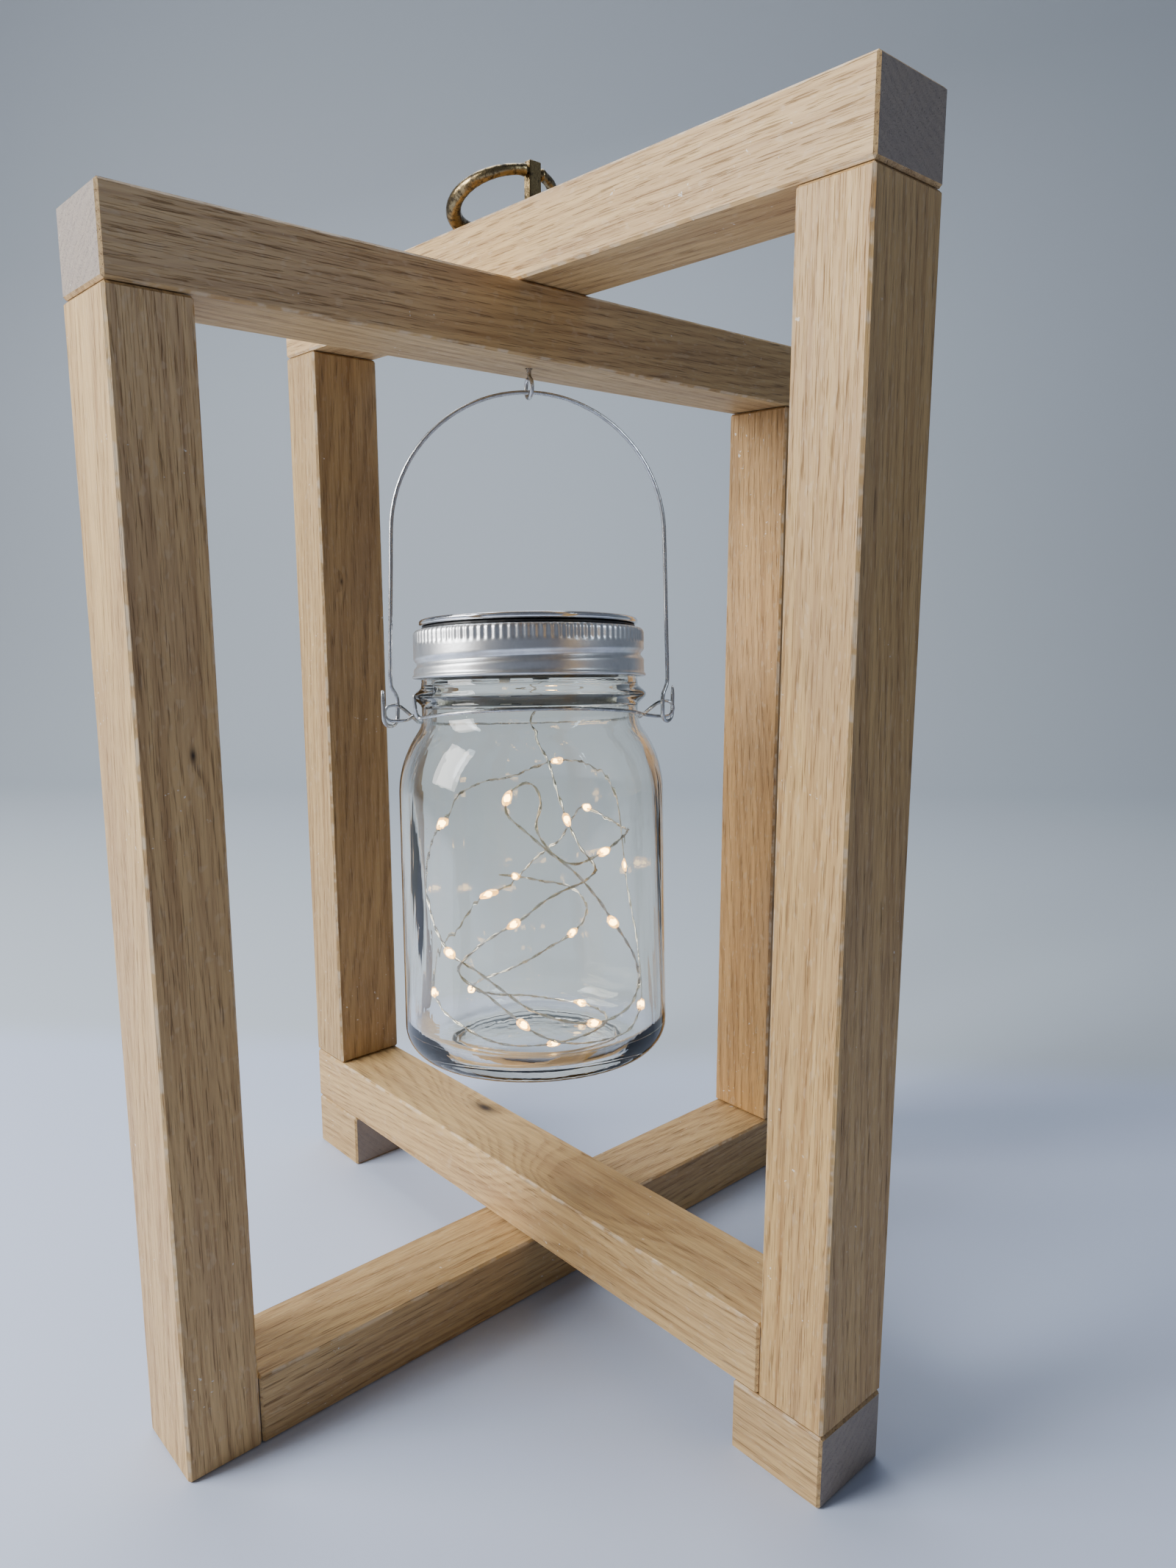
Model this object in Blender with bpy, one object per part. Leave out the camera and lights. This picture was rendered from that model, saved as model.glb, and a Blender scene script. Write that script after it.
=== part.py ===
"""Mason jar lantern hung in a crossed oak frame, in metres with +Z up.

Two equal rectangular frames of square-cut oak cross at right angles. The upper frame stands on two foot
blocks and lies on the lower one at the top and at the bottom. A screw eye under the crossing carries a wire
bail, and the bail's two hooks carry the wire ears of a glass jar with a threaded band, a solar light unit
and a string of lights. A brass drop ring stands on the upper rail. The origin is on the floor under the
crossing.
"""

import math

import bmesh
import bpy
from mathutils import Matrix, Vector

MM = 0.001
GAP = 0.3 * MM  # between two pieces that touch

# Oak frames
STOCK_WIDTH = 26 * MM  # across a frame
STOCK_DEPTH = 20 * MM  # in the plane of a frame
FRAME_LENGTH = 252 * MM
FRAME_HEIGHT = 311 * MM
FOOT_LENGTH = 28.5 * MM
ARRIS = 0.7 * MM
UPPER_TURN = math.radians(-45)  # direction of the upper frame's front end
LOWER_TURN = math.radians(-135)

# Dowels
DOWEL_RADIUS = 3 * MM
DOWEL_LENGTH = 18 * MM
DOWEL_CHAMFER = 0.5 * MM
DOWEL_INSET = 7 * MM  # of the front foot's dowel, from the end of the frame

# Drop ring and its post
RING_POST_ALONG = 2.5 * MM  # from the crossing towards the front end
POST_SIZE = (3.0 * MM, 4.2 * MM)  # along the rail, across it
POST_HEIGHT = 15.2 * MM
POST_STEM_RADIUS = 1.3 * MM
POST_STEM_LENGTH = 8.5 * MM
RING_PIVOT_HEIGHT = 12.4 * MM
RING_RADIUS = 15 * MM
RING_PIN_RADIUS = 0.9 * MM
RING_COLLAR_RADIUS = 1.9 * MM
RING_COLLAR_LENGTH = 0.8 * MM
RING_THIN = 1.6 * MM
RING_THICK = 2.7 * MM
RING_OPENING = math.radians(13)  # half the angle that the post fills

# Screw eye
EYE_WIRE = 0.65 * MM  # radius
EYE_RADIUS = 2.9 * MM  # to the middle of the wire
EYE_SHANK_RADIUS = 0.9 * MM
EYE_SHANK_LENGTH = 9 * MM  # in the wood
EYE_DROP = 8.3 * MM  # from the rail to the middle of the eye's lowest wire
EYE_TURN = math.radians(12)  # of the eye, past square to the bail

# Jar, in its own frame with its base at 0
JAR_TILT = math.radians(5.9)  # the foot hangs forwards
GLASS_WALL = 2.8 * MM
GLASS_FLOOR = 5.5 * MM
JAR_HEIGHT = 132.2 * MM
JAR_RADIUS = 41.6 * MM
BASE_RADIUS = 31 * MM
BASE_CORNER = 10.6 * MM
BASE_PUNT = 1.6 * MM  # rise of the base's middle
BASE_FOOT = (7 * MM, 3 * MM)  # from the base radius in to the foot's inner and outer edge
FINISH_HEIGHT = 14.8 * MM  # of the threaded part
FINISH_BOTTOM = JAR_HEIGHT - FINISH_HEIGHT
FINISH_RADIUS = 33.9 * MM
THREAD_DEPTH = 1.2 * MM
THREAD_WIDTH = 3.4 * MM
THREAD_PITCH = 5.5 * MM
THREAD_TURNS = 1.15
THREAD_START = FINISH_BOTTOM + 5.8 * MM  # height of the thread's middle where it begins
THREAD_RUNOUT = 1 * MM  # from the finish's top edge to the mouth
NECK_RADIUS = 34.0 * MM
NECK_FILLET = 8 * MM
BEAD_HEIGHT = FINISH_BOTTOM - 4 * MM
BEAD_DEPTH = 2.6 * MM
BEAD_WIDTH = 6.6 * MM
SHOULDER_RADIUS = 34 * MM  # of the round shoulder in section
SHOULDER_SPAN = SHOULDER_RADIUS + NECK_FILLET
SHOULDER_TURN = math.acos(1 - (JAR_RADIUS - NECK_RADIUS) / SHOULDER_SPAN)
SHOULDER_RISE = SHOULDER_SPAN * math.sin(SHOULDER_TURN)
BODY_TOP = BEAD_HEIGHT - 6.3 * MM - SHOULDER_RISE

# Neck wire
NECK_WIRE = 0.6 * MM  # radius
NECK_WIRE_RADIUS = NECK_RADIUS + NECK_WIRE + 1.0 * MM
NECK_WIRE_SHIFT = 0.6 * MM  # towards the back
NECK_WIRE_RISE = 3.0 * MM  # at the front
EAR_HEIGHT = BEAD_HEIGHT - 7.2 * MM
EAR_FORWARD = 4.1 * MM  # from the jar's axis to the ears
EAR_LOOP_RADIUS = 2.5 * MM
EAR_LOOP_END = NECK_WIRE_RADIUS + 9.8 * MM  # from the middle of the lantern
EAR_LOOP_LEG = 2.6 * MM
EAR_LOOP_CLOSE = 0.3 * MM  # how far the loop's two legs close on each other
WIRE_TAIL = (Vector((-1.6, -1.2, 7.5)) * MM, Vector((-1.5, -1.2, 4.0)) * MM, Vector((-1.2, -0.9, 1.2)) * MM)
WIRE_END = (Vector((2.2, 0.3, 0.3)) * MM, Vector((4.0, 1.6, 1.6)) * MM)

# Bail
LANTERN_TURN = math.radians(12.2)  # direction of the bail's right arm
BAIL_WIRE = 0.7 * MM  # radius
HOOK_SPREAD = EAR_LOOP_END - 2.0 * MM  # from the middle to each hook
BAIL_RADIUS = HOOK_SPREAD - 1.7 * MM
BAIL_ARM_FLARE = 1.6 * MM
BAIL_DROP = 97.3 * MM  # from the top of the bail to the ears
HOOK_TURN = math.radians(45)  # direction from the arm's leg to the free leg
HOOK_RADIUS = 3 * MM
HOOK_FREE_LEG = 8.5 * MM
HOOK_ARM_LEG = 5 * MM
HOOK_JOG = 5 * MM

# Band and seal
SEAL_THICKNESS = 0.6 * MM
BAND_WALL = 0.5 * MM
BAND_EASE = 0.5 * MM  # from the glass thread to the band
BAND_TOP = JAR_HEIGHT + 0.25 * MM + SEAL_THICKNESS + GAP + BAND_WALL
BAND_HEIGHT = 14.85 * MM
BAND_BOTTOM = BAND_TOP - BAND_HEIGHT
BAND_RADIUS = FINISH_RADIUS + THREAD_DEPTH + BAND_EASE + BAND_WALL  # outside
BAND_GROOVE = 1.1 * MM
BAND_LIP = 0.5 * MM
BAND_LIP_HEIGHT = 0.5 * MM
BAND_CORNER = 1.6 * MM
BAND_OPENING = FINISH_RADIUS - 4.3 * MM  # radius of the hole in its top

# Solar unit
HOUSING_RADIUS = BAND_OPENING - 1.6 * MM
HOUSING_WALL = 1.5 * MM
HOUSING_DEPTH = 15.85 * MM  # under the band's top
HOUSING_BOTTOM = BAND_TOP - HOUSING_DEPTH
HOUSING_CORNER = 1.2 * MM
HOUSING_INSIDE = HOUSING_RADIUS - HOUSING_WALL
FLANGE_RADIUS = BAND_RADIUS - 2.7 * MM
FLANGE_THICKNESS = 0.6 * MM
RIM_RADIUS = BAND_RADIUS - 1.8 * MM
RIM_THICKNESS = 2.0 * MM
RIM_BEAD = 2.4 * MM  # width of the raised edge
RIM_STEP = 0.5 * MM  # from the raised edge down to the panel's surround
PANEL_RADIUS = 23 * MM
PANEL_THICKNESS = 1.6 * MM
PANEL_STEP = 0.2 * MM  # the panel's face under the rim's edge
BATTERY_RADIUS = 5.1 * MM
BATTERY_LENGTH = 29 * MM
BATTERY_BACK = 9.4 * MM  # from the middle towards the back
BOARD_THICKNESS = 1.6 * MM
BOARD_FRONT = 3.0 * MM  # from the middle to the board's near edge
BOARD_DEPTH = HOUSING_INSIDE - 9.5 * MM - BOARD_FRONT
BOARD_CORNER_REACH = HOUSING_INSIDE - 3.83 * MM  # from the middle to the board's far corners
BOARD_WIDTH = 2 * math.sqrt(BOARD_CORNER_REACH**2 - (BOARD_FRONT + BOARD_DEPTH) ** 2)
BOARD_RISE = 2.4 * MM  # over the housing's floor
SWITCH_PLACE = (-7.5 * MM, -12 * MM)
SWITCH_SLOT = (7 * MM, 3.2 * MM)
SWITCH_KNOB = (3.4 * MM, 2.4 * MM, 3.2 * MM)
SWITCH_STAND = 1.2 * MM  # of the knob, under the housing
GROMMET_PLACE = (3.6 * MM, 0.5 * MM)
GROMMET_RADIUS = 2.0 * MM
GROMMET_RIDGE = 3.1 * MM
GROMMET_DROP = 1.2 * MM  # under the housing

# Light string
CORD_RADIUS = 0.45 * MM
CORD_STEP = 2.2 * MM
NEST_BOTTOM = GLASS_FLOOR + 1.5 * MM
NEST_RADIUS = JAR_RADIUS - GLASS_WALL - 1.8 * MM
NEST_EASE = 7 * MM
# The free stretch, from the grommet to the heap, in the jar's own frame.
LEAD_ROUTE = [
    (3.6, 0.5, 116.4),
    (3.5, 0.4, 113.6),
    (2.6, 0.1, 110.8),
    (1.2, -0.1, 108.2),
    (0.1, -0.2, 105.8),
    (0.3, -0.6, 103.2),
    (1.8, -2.0, 99.0),
    (4.2, -4.5, 93.5),
    (5.6, -7.0, 88.5),
    (6.4, -9.0, 84.6),
]
NEST_TOP = LEAD_ROUTE[-1][2] * MM - 2 * GAP

EASING = 0.3 * MM  # of the small parts' edges
SPARE = 2 * MM  # by which a cutter runs past what it cuts
JAR_SEGMENTS = 40
SMALL_SEGMENTS = 12  # of pins, holes and dowels
UP = Vector((0, 0, 1))


# ---------------------------------------------------------------- scene and materials


def clear_scene():
    """Remove every object that the file opened with."""
    for obj in list(bpy.data.objects):
        bpy.data.objects.remove(obj, do_unlink=True)


def material(name, colour, roughness, metallic=0.0, alpha=1.0):
    """Make a Principled material, or return the one of that name."""
    found = bpy.data.materials.get(name)
    if found:
        return found
    made = bpy.data.materials.new(name)
    made.use_nodes = True
    shader = made.node_tree.nodes["Principled BSDF"]
    shader.inputs["Base Color"].default_value = (*colour, 1)
    shader.inputs["Roughness"].default_value = roughness
    shader.inputs["Metallic"].default_value = metallic
    shader.inputs["Alpha"].default_value = alpha
    return made


OAK = ("oak", (0.52, 0.38, 0.23), 0.6)
DOWEL_WOOD = ("dowel", (0.62, 0.48, 0.31), 0.7)
BRASS = ("antique_brass", (0.30, 0.24, 0.15), 0.35, 1.0)
WIRE = ("steel_wire", (0.55, 0.55, 0.56), 0.25, 1.0)
GLASS = ("clear_glass", (0.85, 0.90, 0.86), 0.03, 0.0, 0.3)
BAND = ("aluminium_band", (0.78, 0.79, 0.80), 0.3, 1.0)
RUBBER = ("seal", (0.03, 0.03, 0.03), 0.8)
POLISHED = ("polished_rim", (0.75, 0.76, 0.78), 0.12, 1.0)
HOUSING = ("housing", (0.05, 0.05, 0.05), 0.5)
PANEL = ("solar_panel", (0.02, 0.03, 0.08), 0.15)
CELL = ("battery", (0.10, 0.30, 0.16), 0.4)
BOARD = ("circuit_board", (0.03, 0.22, 0.08), 0.5)
KNOB = ("switch_knob", (0.80, 0.80, 0.78), 0.5)
STRING = ("light_wire", (0.80, 0.80, 0.78), 0.3, 1.0)
HEAP = ("light_heap", (0.95, 0.85, 0.60), 0.5)


# ---------------------------------------------------------------- making solids


def empty(name, place, rotation=None, parent=None):
    """Add an empty that carries the pieces of one moving body."""
    holder = bpy.data.objects.new(name, None)
    bpy.context.collection.objects.link(holder)
    holder.parent = parent
    holder.matrix_basis = Matrix.Translation(place) @ (rotation or Matrix.Identity(4))
    return holder


def add(name, mesh, finish, place=(0, 0, 0), rotation=None, parent=None, smooth=True):
    """Link a mesh as a named object with its own finish."""
    obj = bpy.data.objects.new(name, mesh)
    bpy.context.collection.objects.link(obj)
    if not mesh.materials:
        mesh.materials.append(material(*finish))
    obj.parent = parent
    obj.matrix_basis = Matrix.Translation(place) @ (rotation or Matrix.Identity(4))
    if smooth:
        mesh.shade_smooth()
        mesh.set_sharp_from_angle(angle=math.radians(35))
    return obj


def finish_mesh(name, shape):
    """Turn a bmesh into a mesh with its faces pointing out."""
    bmesh.ops.recalc_face_normals(shape, faces=shape.faces[:])
    mesh = bpy.data.meshes.new(name)
    shape.to_mesh(mesh)
    shape.free()
    return mesh


def ease_edges(shape, edges, width):
    """Cut a flat chamfer along edges."""
    bmesh.ops.bevel(shape, geom=edges, offset=width, segments=1, profile=0.5, affect="EDGES", material=-1)


def box_mesh(name, low, high, bevel=0.0):
    """Make a box between two corners, with its edges eased."""
    shape = bmesh.new()
    size = Vector(high) - Vector(low)
    middle = (Vector(high) + Vector(low)) / 2
    bmesh.ops.create_cube(shape, size=1, matrix=Matrix.Translation(middle) @ Matrix.Diagonal((*size, 1)))
    if bevel:
        ease_edges(shape, shape.edges[:], bevel)
    return finish_mesh(name, shape)


def cylinder_mesh(name, radius, low, high, segments=16, bevel=0.0):
    """Make an upright cylinder on the Z axis."""
    shape = bmesh.new()
    bmesh.ops.create_cone(
        shape,
        cap_ends=True,
        segments=segments,
        radius1=radius,
        radius2=radius,
        depth=high - low,
        matrix=Matrix.Translation((0, 0, (high + low) / 2)),
    )
    if bevel:
        rims = [edge for edge in shape.edges if abs(edge.verts[0].co.z - edge.verts[1].co.z) < 1e-7]
        ease_edges(shape, rims, bevel)
    return finish_mesh(name, shape)


def turned_mesh(name, profile, segments=JAR_SEGMENTS, radius_at=None, closed=False):
    """Turn a profile of (radius, height) points about the Z axis.

    A closed profile makes a ring. An open one starts and ends on the axis. radius_at(index, radius, height,
    angle) may bend a row's radius, as a thread does.
    """
    shape = bmesh.new()
    rows = []
    for index, (radius, height) in enumerate(profile):
        if radius < 1e-6:
            rows.append([shape.verts.new((0, 0, height))])
            continue
        row = []
        for step in range(segments):
            angle = 2 * math.pi * step / segments
            reach = radius_at(index, radius, height, angle) if radius_at else radius
            row.append(shape.verts.new((reach * math.cos(angle), reach * math.sin(angle), height)))
        rows.append(row)
    pairs = list(zip(rows, rows[1:]))
    if closed:
        pairs.append((rows[-1], rows[0]))
    for lower, upper in pairs:
        for step in range(segments):
            after = (step + 1) % segments
            corners = [lower[step % len(lower)], lower[after % len(lower)]]
            corners += [upper[after % len(upper)], upper[step % len(upper)]]
            shape.faces.new(list(dict.fromkeys(corners)))
    return finish_mesh(name, shape)


def arc(centre, radius, start, end, steps):
    """Points on a round stretch of a profile, with angles in degrees."""
    turns = [math.radians(start + (end - start) * step / steps) for step in range(steps + 1)]
    return [(centre[0] + radius * math.cos(turn), centre[1] + radius * math.sin(turn)) for turn in turns]


def smooth_route(points, spacing):
    """Read evenly spaced points from a smooth curve through the given ones."""
    route = [Vector(point) for point in points]
    route = [2 * route[0] - route[1], *route, 2 * route[-1] - route[-2]]
    dense = []
    for a, b, c, d in zip(route, route[1:], route[2:], route[3:]):
        for step in range(24):
            t = step / 24
            bow = (2 * a - 5 * b + 4 * c - d) * t**2 + (3 * b - a - 3 * c + d) * t**3
            dense.append(0.5 * (2 * b + (c - a) * t + bow))
    dense.append(route[-2])
    lengths = [0.0]
    for before, after in zip(dense, dense[1:]):
        lengths.append(lengths[-1] + (after - before).length)
    count = max(2, round(lengths[-1] / spacing))
    even, index = [], 0
    for step in range(count + 1):
        target = lengths[-1] * step / count
        while index < len(lengths) - 2 and lengths[index + 1] < target:
            index += 1
        span = max(lengths[index + 1] - lengths[index], 1e-12)
        even.append(dense[index].lerp(dense[index + 1], (target - lengths[index]) / span))
    return even


def tube(name, points, radius, finish, parent=None, radii=None, resolution=2):
    """Bend a round wire along points and close its ends."""
    curve = bpy.data.curves.new(name, "CURVE")
    curve.dimensions = "3D"
    curve.bevel_depth = radius
    curve.bevel_resolution = resolution
    curve.use_fill_caps = True
    spline = curve.splines.new("POLY")
    spline.points.add(len(points) - 1)
    for index, point in enumerate(points):
        spline.points[index].co = (*point, 1)
        spline.points[index].radius = radii[index] / radius if radii else 1.0
    obj = bpy.data.objects.new(name, curve)
    bpy.context.collection.objects.link(obj)
    curve.materials.append(material(*finish))
    obj.parent = parent
    return obj


def cut(obj, cutter):
    """Cut a hole with another object and leave the cutter as a hidden guide."""
    hole = obj.modifiers.new("cut_" + cutter.name, "BOOLEAN")
    hole.operation = "DIFFERENCE"
    hole.solver = "EXACT"
    hole.object = cutter
    cutter.hide_render = True
    cutter.display_type = "WIRE"


# ---------------------------------------------------------------- oak frames


def frame_point(turn, along, across, height):
    """A place in a frame: along it towards its front end, across it and up."""
    return Matrix.Rotation(turn, 4, "Z") @ Vector((along, across, height))


def timber(name, turn, span, levels):
    """One length of oak from span[0] to span[1] along its frame and levels[0] to levels[1] in height."""
    low = (span[0], -STOCK_WIDTH / 2, levels[0])
    high = (span[1], STOCK_WIDTH / 2, levels[1])
    mesh = box_mesh(name, low, high, ARRIS)
    return add(name, mesh, OAK, rotation=Matrix.Rotation(turn, 4, "Z"), smooth=False)


def dowel(name, turn, place, flat, joined):
    """A dowel at a joint, upright or flat along its frame, with its hole in both pieces."""
    lay = Matrix.Rotation(turn, 4, "Z")
    if flat:
        lay = lay @ Matrix.Rotation(math.pi / 2, 4, "Y")
    spot = frame_point(turn, *place)
    half = DOWEL_LENGTH / 2
    mesh = bpy.data.meshes.get("dowel")
    if not mesh:
        mesh = cylinder_mesh("dowel", DOWEL_RADIUS, -half, half, SMALL_SEGMENTS, DOWEL_CHAMFER)
    add(name, mesh, DOWEL_WOOD, spot, lay)
    hole = cylinder_mesh("hole_of_" + name, DOWEL_RADIUS + GAP, -half - GAP, half + GAP, SMALL_SEGMENTS)
    cutter = add("hole_of_" + name, hole, DOWEL_WOOD, spot, lay)
    for piece in joined:
        cut(piece, cutter)


def oak_frame(name, turn, floor):
    """A frame whose front post runs down past the bottom rail and whose rear post stands on it."""
    end = FRAME_LENGTH / 2
    inner = end - STOCK_DEPTH
    top = floor + FRAME_HEIGHT
    under = top - STOCK_DEPTH
    shelf = floor + STOCK_DEPTH
    top_rail = timber(name + "_top_rail", turn, (-end, end), (under, top))
    front = timber(name + "_post_front", turn, (inner, end), (floor, under - GAP))
    rear = timber(name + "_post_rear", turn, (-end, -inner), (shelf + GAP, under - GAP))
    bottom_rail = timber(name + "_bottom_rail", turn, (-end, inner - GAP), (floor, shelf))
    middle = end - STOCK_DEPTH / 2
    dowel(name + "_dowel_top_front", turn, (middle, 0, under), False, [top_rail, front])
    dowel(name + "_dowel_top_rear", turn, (-middle, 0, under), False, [top_rail, rear])
    dowel(name + "_dowel_front", turn, (inner, 0, floor + STOCK_DEPTH / 2), True, [bottom_rail, front])
    dowel(name + "_dowel_rear", turn, (-middle, 0, shelf), False, [bottom_rail, rear])
    return {"top_rail": top_rail, "front": front, "rear": rear, "bottom_rail": bottom_rail}


def crossed_frames():
    """Both frames, the foot blocks that raise the upper one, and the dowels between them."""
    lower = oak_frame("lower_frame", LOWER_TURN, 0)
    upper = oak_frame("upper_frame", UPPER_TURN, STOCK_DEPTH + GAP)
    end = FRAME_LENGTH / 2
    foot_front = timber("foot_block_front", UPPER_TURN, (end - FOOT_LENGTH, end), (0, STOCK_DEPTH))
    foot_rear = timber("foot_block_rear", UPPER_TURN, (-end, FOOT_LENGTH - end), (0, STOCK_DEPTH))
    joint = STOCK_DEPTH
    front_spot = (end - DOWEL_INSET, 0, joint)
    rear_spot = (-end + STOCK_DEPTH + DOWEL_RADIUS, 0, joint)
    dowel("foot_dowel_front", UPPER_TURN, front_spot, False, [foot_front, upper["front"]])
    dowel("foot_dowel_rear", UPPER_TURN, rear_spot, False, [foot_rear, upper["bottom_rail"]])
    rails = [lower["top_rail"], upper["top_rail"]]
    dowel("crossing_dowel_top", UPPER_TURN, (0, 0, FRAME_HEIGHT), False, rails)
    rails = [lower["bottom_rail"], upper["bottom_rail"]]
    dowel("crossing_dowel_bottom", UPPER_TURN, (0, 0, joint), False, rails)
    return lower, upper


# ---------------------------------------------------------------- drop ring


def drop_ring(rail):
    """The post on the upper rail and the ring that drops to either side of it."""
    top = STOCK_DEPTH + GAP + FRAME_HEIGHT
    foot = frame_point(UPPER_TURN, RING_POST_ALONG, 0, top + GAP)
    turn = Matrix.Rotation(UPPER_TURN, 4, "Z")
    half = (POST_SIZE[0] / 2, POST_SIZE[1] / 2)
    post_mesh = box_mesh("ring_post", (-half[0], -half[1], 0), (*half, POST_HEIGHT), EASING)
    post = add("ring_post", post_mesh, BRASS, foot, turn, smooth=False)
    stem_top = POST_HEIGHT / 8
    stem_mesh = cylinder_mesh("ring_stem", POST_STEM_RADIUS, -POST_STEM_LENGTH, stem_top, SMALL_SEGMENTS)
    stem = add("ring_stem_form", stem_mesh, BRASS, foot, turn)
    joined = post.modifiers.new("stem", "BOOLEAN")
    joined.operation = "UNION"
    joined.object = stem
    stem.hide_render = True
    stem.display_type = "WIRE"
    hole_radius = POST_STEM_RADIUS + GAP
    hole = cylinder_mesh("hole_of_stem", hole_radius, -POST_STEM_LENGTH - 2 * GAP, SPARE, SMALL_SEGMENTS)
    cut(rail, add("hole_of_stem", hole, BRASS, foot, turn))
    across = turn @ Matrix.Rotation(math.pi / 2, 4, "X")
    bore = cylinder_mesh("bore_of_ring", RING_PIN_RADIUS + GAP, -POST_SIZE[1], POST_SIZE[1], SMALL_SEGMENTS)
    pivot = foot + UP * RING_PIVOT_HEIGHT
    cut(post, add("bore_of_ring", bore, BRASS, pivot, across))

    drop = RING_PIVOT_HEIGHT - RING_THICK
    reach = RING_RADIUS * (1 + math.cos(RING_OPENING))
    slope = math.asin(drop / reach)
    lay = turn @ Matrix.Rotation(-slope, 4, "Y")
    holder = empty("ring_pivot", pivot, lay)
    collar = half[1] + 2 * GAP
    points = [(GAP, RING_PIN_RADIUS), (half[1] + GAP, RING_PIN_RADIUS)]
    points += [(collar, RING_COLLAR_RADIUS), (collar + RING_COLLAR_LENGTH, RING_COLLAR_RADIUS)]
    route = [(0, across_it, 0) for across_it, _ in points]
    radii = [radius for _, radius in points]
    steps = 34
    start = RING_OPENING * 1.25
    for step in range(steps + 1):
        angle = start + 2 * (math.pi - start) * step / steps
        forward = -RING_RADIUS * (math.cos(RING_OPENING) - math.cos(angle))
        route.append((forward, RING_RADIUS * math.sin(angle), 0))
        radii.append(RING_THIN + (RING_THICK - RING_THIN) * math.sin(angle / 2) ** 2)
    route += [(0, -across_it, 0) for across_it, _ in reversed(points)]
    radii += [radius for _, radius in reversed(points)]
    tube("drop_ring", route, RING_THIN, BRASS, holder, radii)


# ---------------------------------------------------------------- screw eye and bail


def eye_height():
    """Height of the middle of the eye's lowest wire."""
    return FRAME_HEIGHT - STOCK_DEPTH - EYE_DROP


def bail_top():
    """Height of the bail's wire where it rests in the eye."""
    return eye_height() + EYE_WIRE + BAIL_WIRE + GAP


def screw_eye(rail):
    """The eye under the crossing, its plane square to the bail."""
    middle = eye_height() + EYE_RADIUS
    under = FRAME_HEIGHT - STOCK_DEPTH
    turn = Matrix.Rotation(LANTERN_TURN + EYE_TURN, 4, "Z")
    neck = middle + EYE_RADIUS + 1.1 * EYE_WIRE
    points = [(0, 0, under + EYE_SHANK_LENGTH), (0, 0, under), (0, 0, neck)]
    radii = [EYE_SHANK_RADIUS, EYE_SHANK_RADIUS, EYE_WIRE]
    steps = 22
    for step in range(steps + 1):
        angle = math.radians(112 + 322 * step / steps)
        points.append((0, EYE_RADIUS * math.cos(angle), middle + EYE_RADIUS * math.sin(angle)))
        radii.append(EYE_WIRE)
    tube("screw_eye", [turn @ Vector(point) for point in points], EYE_WIRE, WIRE, None, radii)
    deep = under + EYE_SHANK_LENGTH + GAP
    hole = cylinder_mesh("hole_of_eye", EYE_SHANK_RADIUS + GAP, under - SPARE, deep, SMALL_SEGMENTS)
    cut(rail, add("hole_of_eye", hole, WIRE))


def bail(holder):
    """The wire bail: a round arch, two arms that flare a little, and a hairpin hook on each."""
    ear = -BAIL_DROP
    arch_foot = -BAIL_RADIUS
    bend = ear - (NECK_WIRE + BAIL_WIRE + GAP) + HOOK_RADIUS
    leg = Vector((math.cos(HOOK_TURN), math.sin(HOOK_TURN), 0))
    hook = Vector((HOOK_SPREAD, 0, 0))
    half = []
    for step in range(20):
        angle = math.pi / 2 * (1 - step / 20)
        half.append(Vector((BAIL_RADIUS * math.cos(angle), 0, BAIL_RADIUS * (math.sin(angle) - 1))))
    jog_top = bend + HOOK_ARM_LEG + HOOK_JOG
    arm_end = BAIL_RADIUS + BAIL_ARM_FLARE
    for step in range(7):
        share = step / 6
        level = arch_foot + (jog_top - arch_foot) * share
        half.append(Vector((BAIL_RADIUS + BAIL_ARM_FLARE * share, 0, level)))
    foot = hook - leg * HOOK_RADIUS
    for share in (0.25, 0.5, 0.75):
        ease = share * share * (3 - 2 * share)
        place = Vector((arm_end, 0, 0)).lerp(foot, ease)
        half.append(place + UP * (jog_top - HOOK_JOG * share))
    half += [foot + UP * (bend + HOOK_ARM_LEG), foot + UP * (bend + HOOK_ARM_LEG / 2)]
    for step in range(9):
        angle = math.pi * step / 8
        level = bend - HOOK_RADIUS * math.sin(angle)
        half.append(hook - leg * HOOK_RADIUS * math.cos(angle) + UP * level)
    half.append(hook + leg * HOOK_RADIUS + UP * (bend + HOOK_FREE_LEG))
    other = [Vector((-point.x, -point.y, point.z)) for point in reversed(half[1:])]
    tube("bail_wire", other + half, BAIL_WIRE, WIRE, holder)


# ---------------------------------------------------------------- jar


def bump(distance, width):
    """A round ridge of height 1 and the given width, as a function of the distance from its middle."""
    return math.cos(math.pi * distance / width) ** 2 if abs(distance) < width / 2 else 0.0


def thread_at(height, angle, start, width, turns=THREAD_TURNS):
    """How far a right-hand thread stands out at a height and an angle, from 0 to 1."""
    best = 0.0
    for lap in (-1, 0, 1, 2):
        travel = lap + angle / (2 * math.pi)
        fade = min(1.0, max(0.0, travel / 0.08), max(0.0, (turns - travel) / 0.08))
        best = max(best, fade * bump(height - start - THREAD_PITCH * travel, width))
    return best


def shoulder(inset, steps):
    """The round shoulder and the hollow below the neck, from the body up, drawn in by the glass's wall."""
    round_radius = SHOULDER_RADIUS - inset
    hollow_radius = NECK_FILLET + inset
    middle = JAR_RADIUS - SHOULDER_RADIUS
    turn = math.degrees(SHOULDER_TURN)
    points = arc((middle, BODY_TOP), round_radius, 0, turn, steps)
    hollow = (NECK_RADIUS + NECK_FILLET, BODY_TOP + SHOULDER_RISE)
    return points + arc(hollow, hollow_radius, 180 + turn, 180, steps // 2)[1:]


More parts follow.
